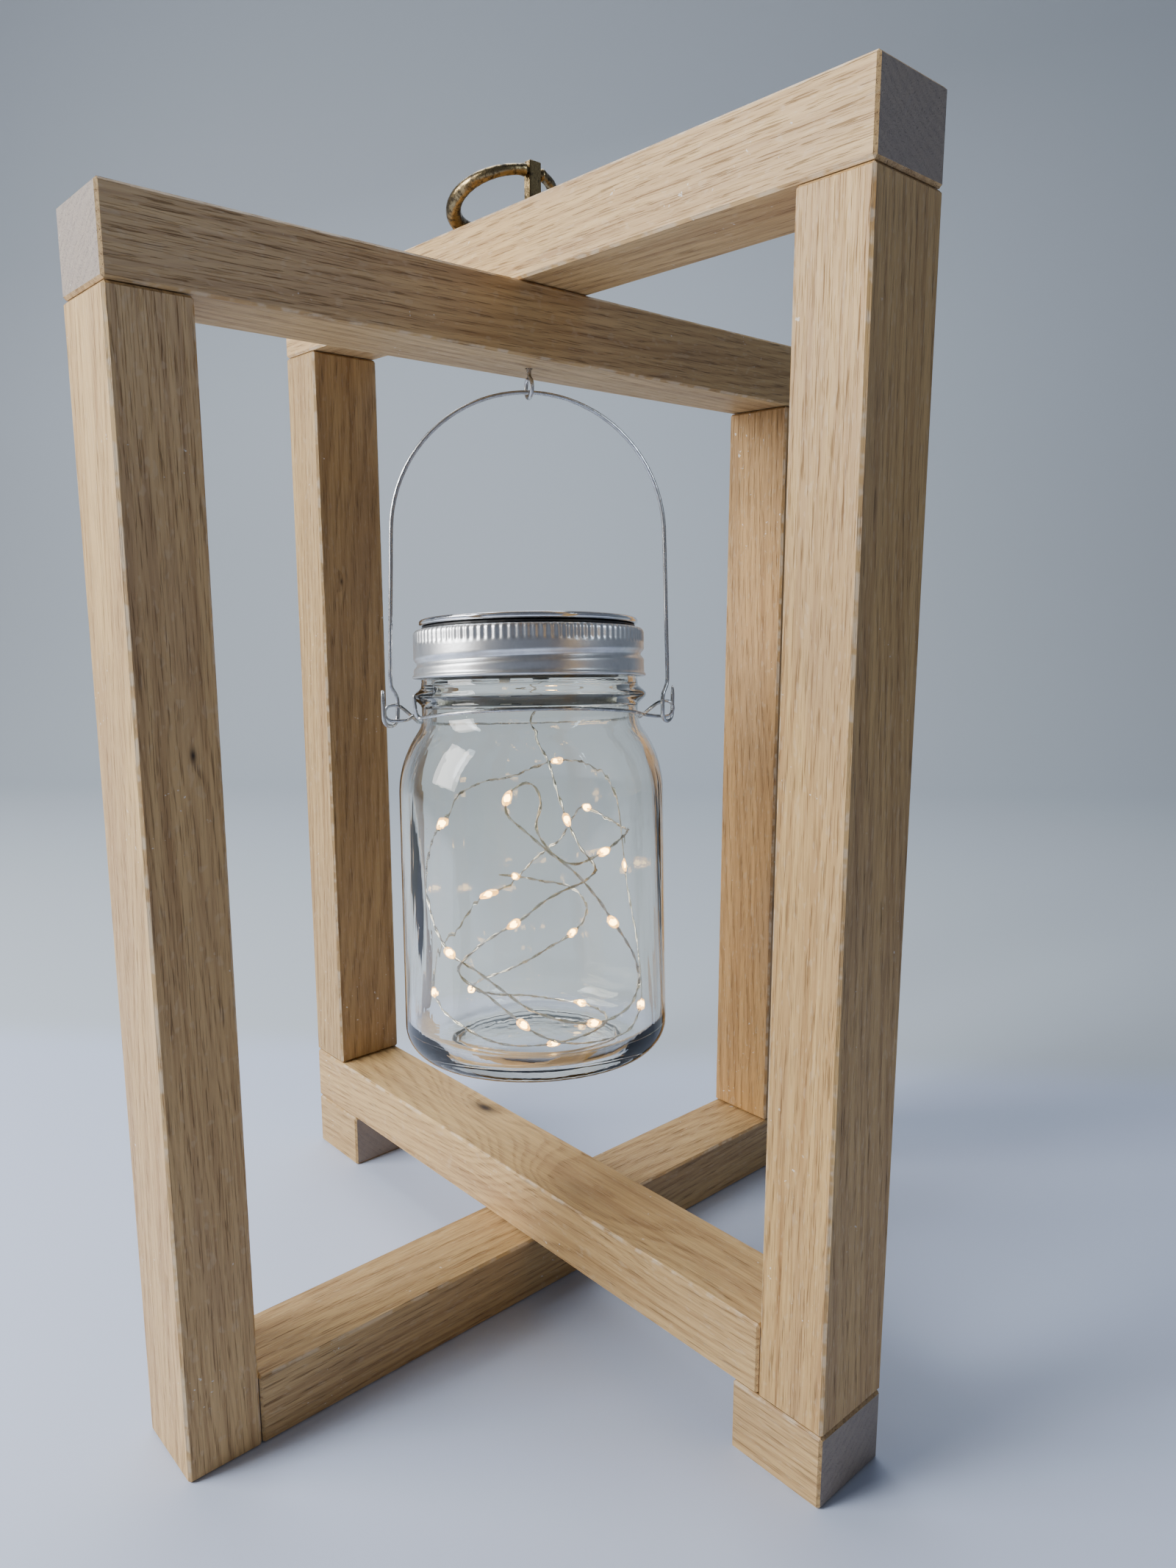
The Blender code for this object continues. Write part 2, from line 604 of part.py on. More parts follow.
def glass_outside():
    """The jar's outer profile from the middle of its base to its mouth."""
    profile = [(0, BASE_PUNT), (BASE_RADIUS - BASE_FOOT[0], BASE_PUNT), (BASE_RADIUS - BASE_FOOT[1], 0)]
    corner = (JAR_RADIUS - BASE_CORNER, BASE_CORNER)
    profile += arc(corner, BASE_CORNER, -90, 0, 6)
    profile += shoulder(0, 6)
    for rise in (-3.0, -2.0, -1.0, 0.0, 1.0, 2.0, 3.0):
        profile.append((NECK_RADIUS + BEAD_DEPTH * bump(rise * MM, BEAD_WIDTH), BEAD_HEIGHT + rise * MM))
    return profile


def glass_jar(holder):
    """The jar with its thread, open at the mouth."""
    outside = glass_outside()
    rows = 13
    first = len(outside)
    for step in range(rows + 1):
        height = FINISH_BOTTOM + (JAR_HEIGHT - THREAD_RUNOUT - FINISH_BOTTOM) * step / rows
        outside.append((FINISH_RADIUS, height))
    last = len(outside)
    inner_neck = FINISH_RADIUS - GLASS_WALL
    lip = GLASS_WALL / 2
    outside += arc((FINISH_RADIUS - lip, JAR_HEIGHT - lip), lip, 40, 140, 3)
    inner_body = JAR_RADIUS - GLASS_WALL
    inside = [(inner_neck, JAR_HEIGHT - 2 * lip)]
    inside += reversed(shoulder(GLASS_WALL, 4))
    corner = BASE_CORNER - GLASS_WALL
    inside += arc((inner_body - corner, GLASS_FLOOR + corner), corner, 0, -90, 4)
    inside += [(0, GLASS_FLOOR)]

    def radius_at(index, radius, height, angle):
        if first <= index < last:
            return radius + THREAD_DEPTH * thread_at(height, angle, THREAD_START, THREAD_WIDTH)
        return radius

    mesh = turned_mesh("glass_jar", outside + inside, radius_at=radius_at)
    add("glass_jar", mesh, GLASS, parent=holder)


def neck_wire(holder, jar):
    """One wire round the jar's neck with an ear on each side; its two ends hook together at the left."""

    def ring_point(degrees):
        angle = math.radians(degrees)
        reach = NECK_WIRE_RADIUS + NECK_WIRE_SHIFT * math.sin(angle)
        rise = EAR_HEIGHT - NECK_WIRE_RISE * math.sin(angle)
        return jar.matrix_basis @ Vector((reach * math.cos(angle), reach * math.sin(angle), rise))

    def ear(side):
        top = 2 * EAR_LOOP_RADIUS
        middle = EAR_LOOP_END - EAR_LOOP_RADIUS
        path = [Vector((middle - EAR_LOOP_LEG, 0, 0)), Vector((middle, 0, 0))]
        for step in range(1, 6):
            angle = math.radians(-90 + 36 * step)
            reach = middle + EAR_LOOP_RADIUS * math.cos(angle)
            path.append(Vector((reach, 0, EAR_LOOP_RADIUS * (1 + math.sin(angle)))))
        path += [Vector((middle - EAR_LOOP_LEG, 0, top - EAR_LOOP_CLOSE))]
        return [Vector((side * point.x, side * point.y, point.z)) for point in path]

    front = [ring_point(degrees) for degrees in range(-167, -12, 7)]
    rear = [ring_point(degrees) for degrees in range(0, 181, 7)]
    tail = [front[0] + offset for offset in WIRE_TAIL]
    left = list(reversed(ear(-1)))
    end = [left[-1] + offset for offset in WIRE_END]
    path = tail + front + ear(1) + rear + left + end
    tube("neck_wire", path, NECK_WIRE, WIRE, holder)


def jar_band(holder):
    """The threaded band: a thin pressed shell with a groove that runs under the glass thread."""
    wall = BAND_WALL
    corner = BAND_CORNER
    rows = 15
    low = BAND_BOTTOM + 2 * BAND_LIP_HEIGHT
    high = BAND_TOP - corner
    outside = [(BAND_OPENING, BAND_TOP), (BAND_RADIUS - corner, BAND_TOP)]
    outside += arc((BAND_RADIUS - corner, BAND_TOP - corner), corner, 60, 30, 1)
    heights = [high + (low - high) * step / rows for step in range(rows + 1)]
    first = len(outside)
    outside += [(BAND_RADIUS, height) for height in heights]
    skirt = len(outside)
    lip = BAND_RADIUS + BAND_LIP
    outside += [(lip, BAND_BOTTOM + BAND_LIP_HEIGHT), (lip, BAND_BOTTOM)]
    inside = [(lip - wall, BAND_BOTTOM)]
    inner_first = skirt + 3
    inside += [(BAND_RADIUS - wall, height) for height in reversed(heights)]
    inside += [(BAND_RADIUS - wall, BAND_TOP - wall), (BAND_OPENING, BAND_TOP - wall)]
    profile = outside + inside
    grooved = set(range(first, skirt)) | set(range(inner_first, inner_first + rows + 1))

    def radius_at(index, radius, height, angle):
        if index not in grooved:
            return radius
        start = THREAD_START - THREAD_PITCH / 2
        return radius - BAND_GROOVE * thread_at(height, angle, start, THREAD_WIDTH, THREAD_TURNS + 0.15)

    mesh = turned_mesh("jar_band", profile, radius_at=radius_at, closed=True)
    add("jar_band", mesh, BAND, parent=holder)


def seal_ring(holder):
    """The liner between the jar's mouth and the band."""
    top = BAND_TOP - BAND_WALL - GAP
    outer = FINISH_RADIUS - GAP
    inner = BAND_OPENING - GAP
    profile = [(inner, top - SEAL_THICKNESS), (outer, top - SEAL_THICKNESS), (outer, top), (inner, top)]
    add("seal_ring", turned_mesh("seal_ring", profile, closed=True), RUBBER, parent=holder)


# ---------------------------------------------------------------- solar unit


def solar_unit(holder):
    """Housing, rim, panel, battery, board, grommet: the unit that lifts out of the band."""
    flange = BAND_TOP + GAP
    flange_top = flange + FLANGE_THICKNESS
    inner = HOUSING_INSIDE
    floor = HOUSING_BOTTOM + HOUSING_WALL
    profile = [(0, HOUSING_BOTTOM), (HOUSING_RADIUS - HOUSING_CORNER, HOUSING_BOTTOM)]
    profile += [(HOUSING_RADIUS, HOUSING_BOTTOM + HOUSING_CORNER), (HOUSING_RADIUS, flange)]
    profile += [(FLANGE_RADIUS, flange)]
    profile += [(FLANGE_RADIUS, flange_top), (inner, flange_top), (inner, floor), (0, floor)]
    housing = add("solar_housing", turned_mesh("solar_housing", profile), HOUSING, parent=holder)
    bottom = HOUSING_BOTTOM - SPARE
    bore = cylinder_mesh("hole_of_lead", GROMMET_RADIUS + GAP, bottom, floor + SPARE, SMALL_SEGMENTS)
    cut(housing, add("hole_of_lead", bore, HOUSING, (*GROMMET_PLACE, 0), parent=holder))
    slot = (SWITCH_SLOT[0] / 2, SWITCH_SLOT[1] / 2)
    slot_low = (SWITCH_PLACE[0] - slot[0], SWITCH_PLACE[1] - slot[1], bottom)
    slot_high = (SWITCH_PLACE[0] + slot[0], SWITCH_PLACE[1] + slot[1], floor + SPARE)
    slot_mesh = box_mesh("slot_of_switch", slot_low, slot_high)
    cut(housing, add("slot_of_switch", slot_mesh, HOUSING, parent=holder))

    rim_low = flange_top + GAP
    rim_top = rim_low + RIM_THICKNESS
    hole = PANEL_RADIUS + GAP
    edge = RIM_THICKNESS / 2
    rim = [(hole, rim_low), (RIM_RADIUS - edge, rim_low)]
    rim += arc((RIM_RADIUS - edge, rim_low + edge), edge, -60, 60, 4)
    rim += [(RIM_RADIUS - edge, rim_top), (RIM_RADIUS - RIM_BEAD, rim_top - RIM_STEP)]
    rim += [(hole, rim_top - RIM_STEP)]
    add("solar_rim", turned_mesh("solar_rim", rim, closed=True), POLISHED, parent=holder)
    panel_top = rim_top - PANEL_STEP
    panel_low = panel_top - PANEL_THICKNESS
    panel = cylinder_mesh("solar_panel", PANEL_RADIUS, panel_low, panel_top, JAR_SEGMENTS, EASING)
    add("solar_panel", panel, PANEL, parent=holder)

    lay = Matrix.Rotation(math.pi / 2, 4, "Y")
    half = BATTERY_LENGTH / 2
    cell_place = (0, BATTERY_BACK, floor + GAP + BATTERY_RADIUS)
    cell = cylinder_mesh("battery", BATTERY_RADIUS, -half, half, 20, 2 * EASING)
    add("battery", cell, CELL, cell_place, lay, holder)
    under_board = floor + BOARD_RISE
    low = (-BOARD_WIDTH / 2, -BOARD_FRONT - BOARD_DEPTH, under_board)
    high = (BOARD_WIDTH / 2, -BOARD_FRONT, under_board + BOARD_THICKNESS)
    add("circuit_board", box_mesh("circuit_board", low, high), BOARD, parent=holder, smooth=False)

    foot = HOUSING_BOTTOM - GROMMET_DROP
    head = floor + 2 * EASING
    inside = CORD_RADIUS + GAP
    grommet = [(inside, foot), (GROMMET_RIDGE - 2 * EASING, foot)]
    grommet += [(GROMMET_RIDGE, HOUSING_BOTTOM - GAP), (GROMMET_RADIUS, HOUSING_BOTTOM - GAP)]
    grommet += [(GROMMET_RADIUS, head), (inside, head)]
    bush = turned_mesh("lead_grommet", grommet, 16, closed=True)
    add("lead_grommet", bush, RUBBER, (*GROMMET_PLACE, 0), parent=holder)


def switch_knob(holder):
    """The slide switch's knob, which stands out under the housing; its place is the middle of its slot."""
    along, across, tall = SWITCH_KNOB
    off_end = SWITCH_PLACE[0] - SWITCH_SLOT[0] / 2 + along / 2 + GAP
    start = (off_end, SWITCH_PLACE[1], HOUSING_BOTTOM - SWITCH_STAND)
    mesh = box_mesh("switch_knob", (-along / 2, -across / 2, 0), (along / 2, across / 2, tall), EASING)
    add("switch_knob", mesh, KNOB, start, parent=holder, smooth=False)


# ---------------------------------------------------------------- light string


def light_string(holder, jar_holder):
    """The free stretch of the light string, and the solid that its heap of wire fills."""
    lead = smooth_route([Vector(point) * MM for point in LEAD_ROUTE], CORD_STEP)
    tube("light_lead", lead, CORD_RADIUS, STRING, holder)
    ease = NEST_EASE
    profile = [(0, NEST_BOTTOM), (NEST_RADIUS - ease, NEST_BOTTOM)]
    profile += arc((NEST_RADIUS - ease, NEST_BOTTOM + ease), ease, -60, 0, 2)
    profile += arc((NEST_RADIUS - ease, NEST_TOP - ease), ease, 0, 60, 2)
    profile += [(NEST_RADIUS - ease, NEST_TOP), (0, NEST_TOP)]
    add("light_heap", turned_mesh("light_heap", profile, 32), HEAP, parent=jar_holder)


# ---------------------------------------------------------------- lantern


def lantern():
    """Everything that hangs from the eye, under an empty on each joint's axis."""
    turn = Matrix.Rotation(LANTERN_TURN, 4, "Z")
    swing = empty("lantern_axis", (0, 0, bail_top()), turn)
    bail(swing)
    ears = empty("ear_axis", (0, 0, -BAIL_DROP), parent=swing)
    lean = Matrix.Rotation(-JAR_TILT, 4, "X") @ Matrix.Translation((0, EAR_FORWARD, -EAR_HEIGHT))
    jar = empty("jar_axis", (0, 0, 0), lean, ears)
    glass_jar(jar)
    neck_wire(ears, jar)
    seal_ring(jar)
    jar_band(jar)
    solar_unit(jar)
    switch_knob(jar)
    light_string(jar, jar)


def main():
    """Build the whole lantern."""
    clear_scene()
    lower, upper = crossed_frames()
    drop_ring(upper["top_rail"])
    screw_eye(lower["top_rail"])
    lantern()
    bpy.context.view_layer.update()


main()
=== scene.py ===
"""Mason jar lantern in its crossed oak frame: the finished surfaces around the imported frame.

The oak, the glass jar, the pressed band, the lid's solar unit, the wirework, the brass ring and the
string of lights each have a class that builds its pieces and a finish that dresses them. Sizes are in
millimetres in the jar's own frame. The studio's are in metres in the lantern's frame.
"""

import logging
import math
from dataclasses import dataclass
from enum import Enum
from typing import Callable

import bmesh
import bpy
from mathutils import Matrix, Vector


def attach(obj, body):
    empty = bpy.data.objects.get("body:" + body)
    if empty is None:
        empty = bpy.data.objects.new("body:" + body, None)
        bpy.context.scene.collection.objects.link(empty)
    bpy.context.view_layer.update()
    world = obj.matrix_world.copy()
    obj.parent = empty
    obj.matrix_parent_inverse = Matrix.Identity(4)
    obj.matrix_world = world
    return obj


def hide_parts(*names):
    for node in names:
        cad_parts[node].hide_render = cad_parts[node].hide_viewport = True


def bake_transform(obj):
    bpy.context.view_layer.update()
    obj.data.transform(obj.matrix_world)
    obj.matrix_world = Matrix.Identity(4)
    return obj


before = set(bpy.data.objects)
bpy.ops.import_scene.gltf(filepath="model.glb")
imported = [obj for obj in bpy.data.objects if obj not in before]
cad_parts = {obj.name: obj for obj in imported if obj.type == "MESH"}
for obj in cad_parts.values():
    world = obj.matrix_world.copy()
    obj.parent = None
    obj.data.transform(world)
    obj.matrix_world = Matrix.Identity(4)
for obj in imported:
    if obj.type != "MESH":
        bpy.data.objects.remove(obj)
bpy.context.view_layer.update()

MM = 0.001
LOG = logging.getLogger("lantern")
Colour = tuple[float, float, float]
Point = tuple[float, float, float]
Flat = tuple[float, float]
HALF_TURN = math.pi
FULL_TURN = 2 * math.pi


# ---------------------------------------------------------------- shader expressions


class Signal:
    """A shader socket that takes part in Python expressions."""

    def __init__(self, graph: "Graph", socket: bpy.types.NodeSocket) -> None:
        """Wrap a socket of a graph."""
        self.graph = graph
        self.socket = socket

    def maths(self, operation: str, *others: "Signal | float") -> "Signal":
        """Apply a Math node's operation to this signal and others."""
        inputs = dict(enumerate((self, *others)))
        return self.graph.node("ShaderNodeMath", {"operation": operation}, inputs)["Value"]

    def __add__(self, other: "Signal | float") -> "Signal":
        """Sum."""
        return self.maths("ADD", other)

    __radd__ = __add__

    def __mul__(self, other: "Signal | float") -> "Signal":
        """Product."""
        return self.maths("MULTIPLY", other)

    __rmul__ = __mul__

    def __sub__(self, other: "Signal | float") -> "Signal":
        """Difference."""
        return self.maths("SUBTRACT", other)

    def __rsub__(self, other: float) -> "Signal":
        """Difference from a number."""
        return self * -1 + other

    def __truediv__(self, other: "Signal | float") -> "Signal":
        """Quotient."""
        return self.maths("DIVIDE", other)

    def ease(self, low: float, high: float) -> "Signal":
        """Rise smoothly from 0 at low to 1 at high, or fall where low is the higher."""
        inputs = {"Value": self, "From Min": low, "From Max": high}
        settings = {"interpolation_type": "SMOOTHSTEP"}
        return self.graph.node("ShaderNodeMapRange", settings, inputs)["Result"]


class Made:
    """A node whose outputs are read as signals."""

    def __init__(self, graph: "Graph", node: bpy.types.Node) -> None:
        """Wrap a node of a graph."""
        self.graph = graph
        self.node = node

    def __getitem__(self, name: str | int) -> Signal:
        """Read one output."""
        return Signal(self.graph, self.node.outputs[name])


class Graph:
    """The node tree of one material."""

    def __init__(self, name: str) -> None:
        """Start an empty material."""
        self.material = bpy.data.materials.new(name)
        self.material.use_nodes = True
        self.tree = self.material.node_tree
        self.tree.nodes.clear()
        scaled = {0: self.node("ShaderNodeTexCoord")["Object"], "Scale": 1 / MM}
        self.place = self.node("ShaderNodeVectorMath", {"operation": "SCALE"}, scaled)["Vector"]

    def node(self, kind: str, settings: dict | None = None, inputs: dict | None = None) -> Made:
        """Add a node.

        Args:
            kind: The node's type.
            settings: Values of its properties, set first.
            inputs: Numbers, colours or signals of its sockets, by name or index.

        Returns:
            The node, for its outputs.
        """
        made = self.tree.nodes.new(kind)
        for key, value in (settings or {}).items():
            setattr(made, key, value)
        for key, value in (inputs or {}).items():
            if isinstance(value, Signal):
                self.tree.links.new(value.socket, made.inputs[key])
            else:
                made.inputs[key].default_value = value
        return Made(self, made)

    def along(self, direction: Point, origin: float = 0.0) -> Signal:
        """Millimetres along a direction, less an origin."""
        inputs = {0: self.place, 1: direction}
        return self.node("ShaderNodeVectorMath", {"operation": "DOT_PRODUCT"}, inputs)["Value"] - origin

    def vector(self, x: Signal | float, y: Signal | float, z: Signal | float) -> Signal:
        """Join three numbers into a vector."""
        return self.node("ShaderNodeCombineXYZ", None, {"X": x, "Y": y, "Z": z})["Vector"]

    def noise(
        self, where: Signal | None = None, size: float = 1.0, detail: float = 2.0, rough: float = 0.5
    ) -> Signal:
        """Make soft noise from 0 to 1.

        Args:
            where: The place that it reads, or the surface's own in millimetres.
            size: About how wide its spots are.
            detail: How many finer layers it has.
            rough: How strong the finer layers are.

        Returns:
            The noise.
        """
        inputs = {"Vector": where or self.place, "Scale": 1 / size, "Detail": detail, "Roughness": rough}
        return self.node("ShaderNodeTexNoise", None, inputs)["Fac"]

    def cells(self, size: float) -> Signal:
        """Distance to the nearest of scattered points that are about size millimetres apart."""
        inputs = {"Vector": self.place, "Scale": 1 / size}
        return self.node("ShaderNodeTexVoronoi", None, inputs)["Distance"]

    def mix(self, share: Signal | float, first: Signal | Colour, second: Signal | Colour) -> Signal:
        """Blend two colours."""
        first = first if isinstance(first, Signal) else (*first, 1)
        second = second if isinstance(second, Signal) else (*second, 1)
        inputs = {0: share, 6: first, 7: second}
        return self.node("ShaderNodeMix", {"data_type": "RGBA"}, inputs)[2]

    def bump(self, height: Signal, depth: float) -> Signal:
        """Turn a height of 0 to 1 into a relief of that depth in millimetres."""
        inputs = {"Height": height, "Distance": depth * MM, "Strength": 1.0}
        return self.node("ShaderNodeBump", None, inputs)["Normal"]

    def surface(self, sockets: dict) -> bpy.types.Material:
        """End the material in a Principled shader with the given sockets."""
        for key, value in sockets.items():
            if isinstance(value, tuple) and len(value) == 3:
                sockets[key] = (*value, 1)
        shader = self.node("ShaderNodeBsdfPrincipled", None, sockets)
        output = self.tree.nodes.new("ShaderNodeOutputMaterial")
        self.tree.links.new(shader.node.outputs["BSDF"], output.inputs["Surface"])
        return self.material


# ---------------------------------------------------------------- meshes


class Shape:
    """A bmesh that is worked into one finished piece, in millimetres."""

    MERGE = 0.0005
    NODE_MERGE = 1e-6

    def __init__(self) -> None:
        """Start empty."""
        self.mesh = bmesh.new()

    @classmethod
    def turned(cls, profile: list[Flat], segments: int, closed: bool = False) -> "Shape":
        """Spin a profile of (radius, height) points about the upright axis.

        Args:
            profile: The outline's points.
            segments: Steps in a full turn.
            closed: Whether the outline joins up into a ring.

        Returns:
            The turned shape with its faces pointing out.
        """
        shape = cls()
        verts = [shape.mesh.verts.new((radius, 0, height)) for radius, height in profile]
        edges = [shape.mesh.edges.new(pair) for pair in zip(verts, verts[1:])]
        if closed:
            edges.append(shape.mesh.edges.new((verts[-1], verts[0])))
        bmesh.ops.spin(
            shape.mesh,
            geom=verts + edges,
            axis=(0, 0, 1),
            cent=(0, 0, 0),
            angle=FULL_TURN,
            steps=segments,
            use_merge=True,
            use_duplicate=False,
        )
        bmesh.ops.remove_doubles(shape.mesh, verts=shape.mesh.verts[:], dist=cls.MERGE)
        bmesh.ops.recalc_face_normals(shape.mesh, faces=shape.mesh.faces[:])
        return shape

    @classmethod
    def copied(cls, node: str) -> "Shape":
        """Copy a CAD node's mesh, merged, in metres."""
        shape = cls()
        shape.mesh.from_mesh(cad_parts[node].data)
        bmesh.ops.remove_doubles(shape.mesh, verts=shape.mesh.verts[:], dist=cls.NODE_MERGE)
        return shape

    def bend(self, move: Callable[[Vector], Vector]) -> "Shape":
        """Move every vertex by a rule."""
        for vert in self.mesh.verts:
            vert.co = move(vert.co)
        return self

    def put(self, matrix: Matrix) -> "Shape":
        """Carry the whole shape to its place."""
        bmesh.ops.transform(self.mesh, matrix=matrix, verts=self.mesh.verts[:])
        return self

    def object(self, name: str, material: bpy.types.Material, sharp: float = 40) -> bpy.types.Object:
        """End the shape as an object.

        Args:
            name: The piece's name.
            material: Its finish.
            sharp: The angle in degrees past which an edge isn't smoothed.

        Returns:
            The piece.
        """
        data = bpy.data.meshes.new(name)
        self.mesh.to_mesh(data)
        self.mesh.free()
        data.materials.append(material)
        data.shade_smooth()
        data.set_sharp_from_angle(angle=math.radians(sharp))
        made = bpy.data.objects.new(name, data)
        bpy.context.collection.objects.link(made)
        return made


def arc(centre: Flat, radius: float, start: float, end: float, steps: int) -> list[Flat]:
    """Points on a round stretch of an outline, with angles in degrees."""
    turns = [math.radians(start + (end - start) * step / steps) for step in range(steps + 1)]
    return [(centre[0] + radius * math.cos(turn), centre[1] + radius * math.sin(turn)) for turn in turns]


def straight(start: Flat, end: Flat, steps: int) -> list[Flat]:
    """Even points between two points of an outline, without the first."""
    shares = [step / steps for step in range(1, steps + 1)]
    across, rise = end[0] - start[0], end[1] - start[1]
    return [(start[0] + across * share, start[1] + rise * share) for share in shares]


def ridge(distance: float, width: float) -> float:
    """A round ridge of height 1 and the given width, by the distance from its middle."""
    return math.cos(HALF_TURN * distance / width) ** 2 if abs(distance) < width / 2 else 0.0


@dataclass(frozen=True)
class Thread:
    """A one-start screw thread about the jar's axis, faded in and out at its two ends."""

    start: float
    turns: float
    depth: float
    pitch: float = 5.5
    width: float = 3.4
    fade: float = 0.08

    def rise(self, height: float, angle: float) -> float:
        """How far the thread stands out at a height and an angle, from 0 to 1."""
        best = 0.0
        for lap in (-1, 0, 1, 2):
            travel = lap + angle / FULL_TURN
            fade = min(1.0, max(0.0, travel / self.fade), max(0.0, (self.turns - travel) / self.fade))
            best = max(best, fade * ridge(height - self.start - self.pitch * travel, self.width))
        return best


def settle(piece: bpy.types.Object, body: str, slot: str, node: str) -> None:
    """Hang a piece on its body, hide the CAD node that it stands for, and report it with its slot."""
    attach(piece, body)
    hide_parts(node)
    LOG.info("%s rides on %s as %s", piece.name, body, slot)


def dress(node: str, material: bpy.types.Material) -> None:
    """Give a CAD node its finish."""
    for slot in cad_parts[node].material_slots:
        slot.material = material
    LOG.info("%s is dressed in %s", node, material.name)


@dataclass(frozen=True)
class JarPlace:
    """Where the jar hangs: its own frame has its base at 0 and its axis upright."""

    turn: float = math.radians(12.2)
    tilt: float = math.radians(5.9)
    ear_height: float = 106.2
    ear_forward: float = 4.1
    ear_level: float = 187.05

    def matrix(self) -> Matrix:
        """Millimetres in the jar's frame to metres in the lantern's."""
        turn = Matrix.Rotation(self.turn, 4, "Z") @ Matrix.Translation((0, 0, self.ear_level))
        hang = Matrix.Translation((0, self.ear_forward, -self.ear_height))
        return Matrix.Scale(MM, 4) @ turn @ (Matrix.Rotation(-self.tilt, 4, "X") @ hang)

    def axis(self) -> Point:
        """The direction of the jar's axis."""
        return tuple((self.matrix().to_3x3() @ Vector((0, 0, 1))).normalized())


JAR = JarPlace().matrix()


# ---------------------------------------------------------------- camera, stage and lights


@dataclass
class Studio:
    """The camera, the pale floor with its far part in a softer grey, and the soft lights."""

    eye: Point = (0.03436, -0.33453, 0.22526)
    look_down: float = math.radians(9.96)
    look_left: float = math.radians(2.88)
    lens: float = 24.78
    floor_reach: float = 3.0
    join: float = 170.0
    join_width: float = 25.0
    floor_light: Colour = (0.58, 0.65, 0.83)
    floor_far: Colour = (0.53, 0.585, 0.65)
    sweep: float = 500.0
    backdrop: float = 1400.0
    aim: Point = (0.0, 0.0, 0.16)
    room: Colour = (0.76, 0.84, 1.0)
    room_strength: float = 0.155
    glass_room: Colour = (0.95, 1.0, 0.88)
    glass_strength: float = 0.50

    def camera(self) -> None:
        """Set up the camera."""
        data = bpy.data.cameras.new("camera")
        data.sensor_width = 36
        data.lens = self.lens
        camera = bpy.data.objects.new("camera", data)
        camera.location = self.eye
        camera.rotation_euler = (math.pi / 2 - self.look_down, 0, self.look_left)
        bpy.context.collection.objects.link(camera)
        bpy.context.scene.camera = camera

    def floor(self) -> None:
        """Lay the floor and sweep it up into a backdrop far behind."""
        shape = Shape()
        reach = self.floor_reach / MM
        bend = arc((self.backdrop - self.sweep, self.sweep), self.sweep, -90, 0, 24)
        profile = [(-reach, 0.0)] + bend + [(self.backdrop, reach)]
        verts = [shape.mesh.verts.new((-reach, depth, height)) for depth, height in profile]
        edges = [shape.mesh.edges.new(pair) for pair in zip(verts, verts[1:])]
        made = bmesh.ops.extrude_edge_only(shape.mesh, edges=edges)
        moved = [part for part in made["geom"] if isinstance(part, bmesh.types.BMVert)]
        bmesh.ops.translate(shape.mesh, verts=moved, vec=(2 * reach, 0, 0))
        bmesh.ops.recalc_face_normals(shape.mesh, faces=shape.mesh.faces[:])
        for face in shape.mesh.faces:
            if face.normal.z < -0.01 or face.normal.y > 0.01:
                face.normal_flip()
        graph = Graph("floor")
        depth = graph.along((0.05, 1, 0))
        far = depth.ease(self.join - self.join_width, self.join + self.join_width)
        cloud = graph.noise(size=160, detail=3)
        pale = graph.mix(cloud * 0.25, self.floor_light, tuple(part * 0.9 for part in self.floor_light))
        colour = graph.mix(far, pale, self.floor_far)
        fine = graph.noise(size=0.8, detail=3)
        material = graph.surface({"Base Color": colour, "Roughness": 0.55 + fine * 0.1})
        shape.put(Matrix.Scale(MM, 4))
        shape.object("floor", material)

    def lamp(self, name: str, place: Point, size: Flat, power: float, colour: Colour) -> bpy.types.Object:
        """Hang an area light that looks at the lantern's middle.

        Args:
            name: The light's name.
            place: Where it hangs, in metres.
            size: Its width and height, in metres.
            power: Its power in watts.
            colour: The colour of its light.

        Returns:
            The light.
        """
        data = bpy.data.lights.new(name, "AREA")
        data.shape = "RECTANGLE"
        data.size, data.size_y = size
        data.energy = power
        data.color = colour
        lamp = bpy.data.objects.new(name, data)
        lamp.location = place
        lamp.rotation_euler = (Vector(self.aim) - Vector(place)).to_track_quat("-Z", "Y").to_euler()
        bpy.context.collection.objects.link(lamp)
        return lamp

    def lights(self) -> None:
        """Hang a large light, two windows and one light above. The right window only shows in gloss."""
        self.lamp("key", (-1.20, -0.42, 0.72), (0.9, 0.8), 29.0, (1.0, 0.98, 0.94))
        self.lamp("window_left", (-0.50, -0.30, 0.50), (0.15, 0.32), 2.0, (0.80, 0.90, 1.0))
        right = self.lamp("window_right", (0.42, -0.30, 0.50), (0.11, 0.20), 1.2, (0.70, 0.85, 1.0))
        right.visible_diffuse = False
        self.lamp("overhead", (-0.20, 0.45, 1.25), (0.9, 0.9), 10.0, (0.88, 0.94, 1.0))

    def world(self) -> None:
        """Set the even light of the room, brighter where it is seen through the glass."""
        world = bpy.data.worlds.new("room")
        world.use_nodes = True
        tree = world.node_tree
        back = tree.nodes["Background"]
        back.inputs["Color"].default_value = (*self.room, 1)
        back.inputs["Strength"].default_value = self.room_strength
        bright = tree.nodes.new("ShaderNodeBackground")
        bright.inputs["Color"].default_value = (*self.glass_room, 1)
        bright.inputs["Strength"].default_value = self.glass_strength
        path = tree.nodes.new("ShaderNodeLightPath")
        blend = tree.nodes.new("ShaderNodeMixShader")
        tree.links.new(path.outputs["Is Transmission Ray"], blend.inputs[0])
        tree.links.new(back.outputs[0], blend.inputs[1])
        tree.links.new(bright.outputs[0], blend.inputs[2])
        tree.links.new(blend.outputs[0], tree.nodes["World Output"].inputs["Surface"])
        bpy.context.scene.world = world

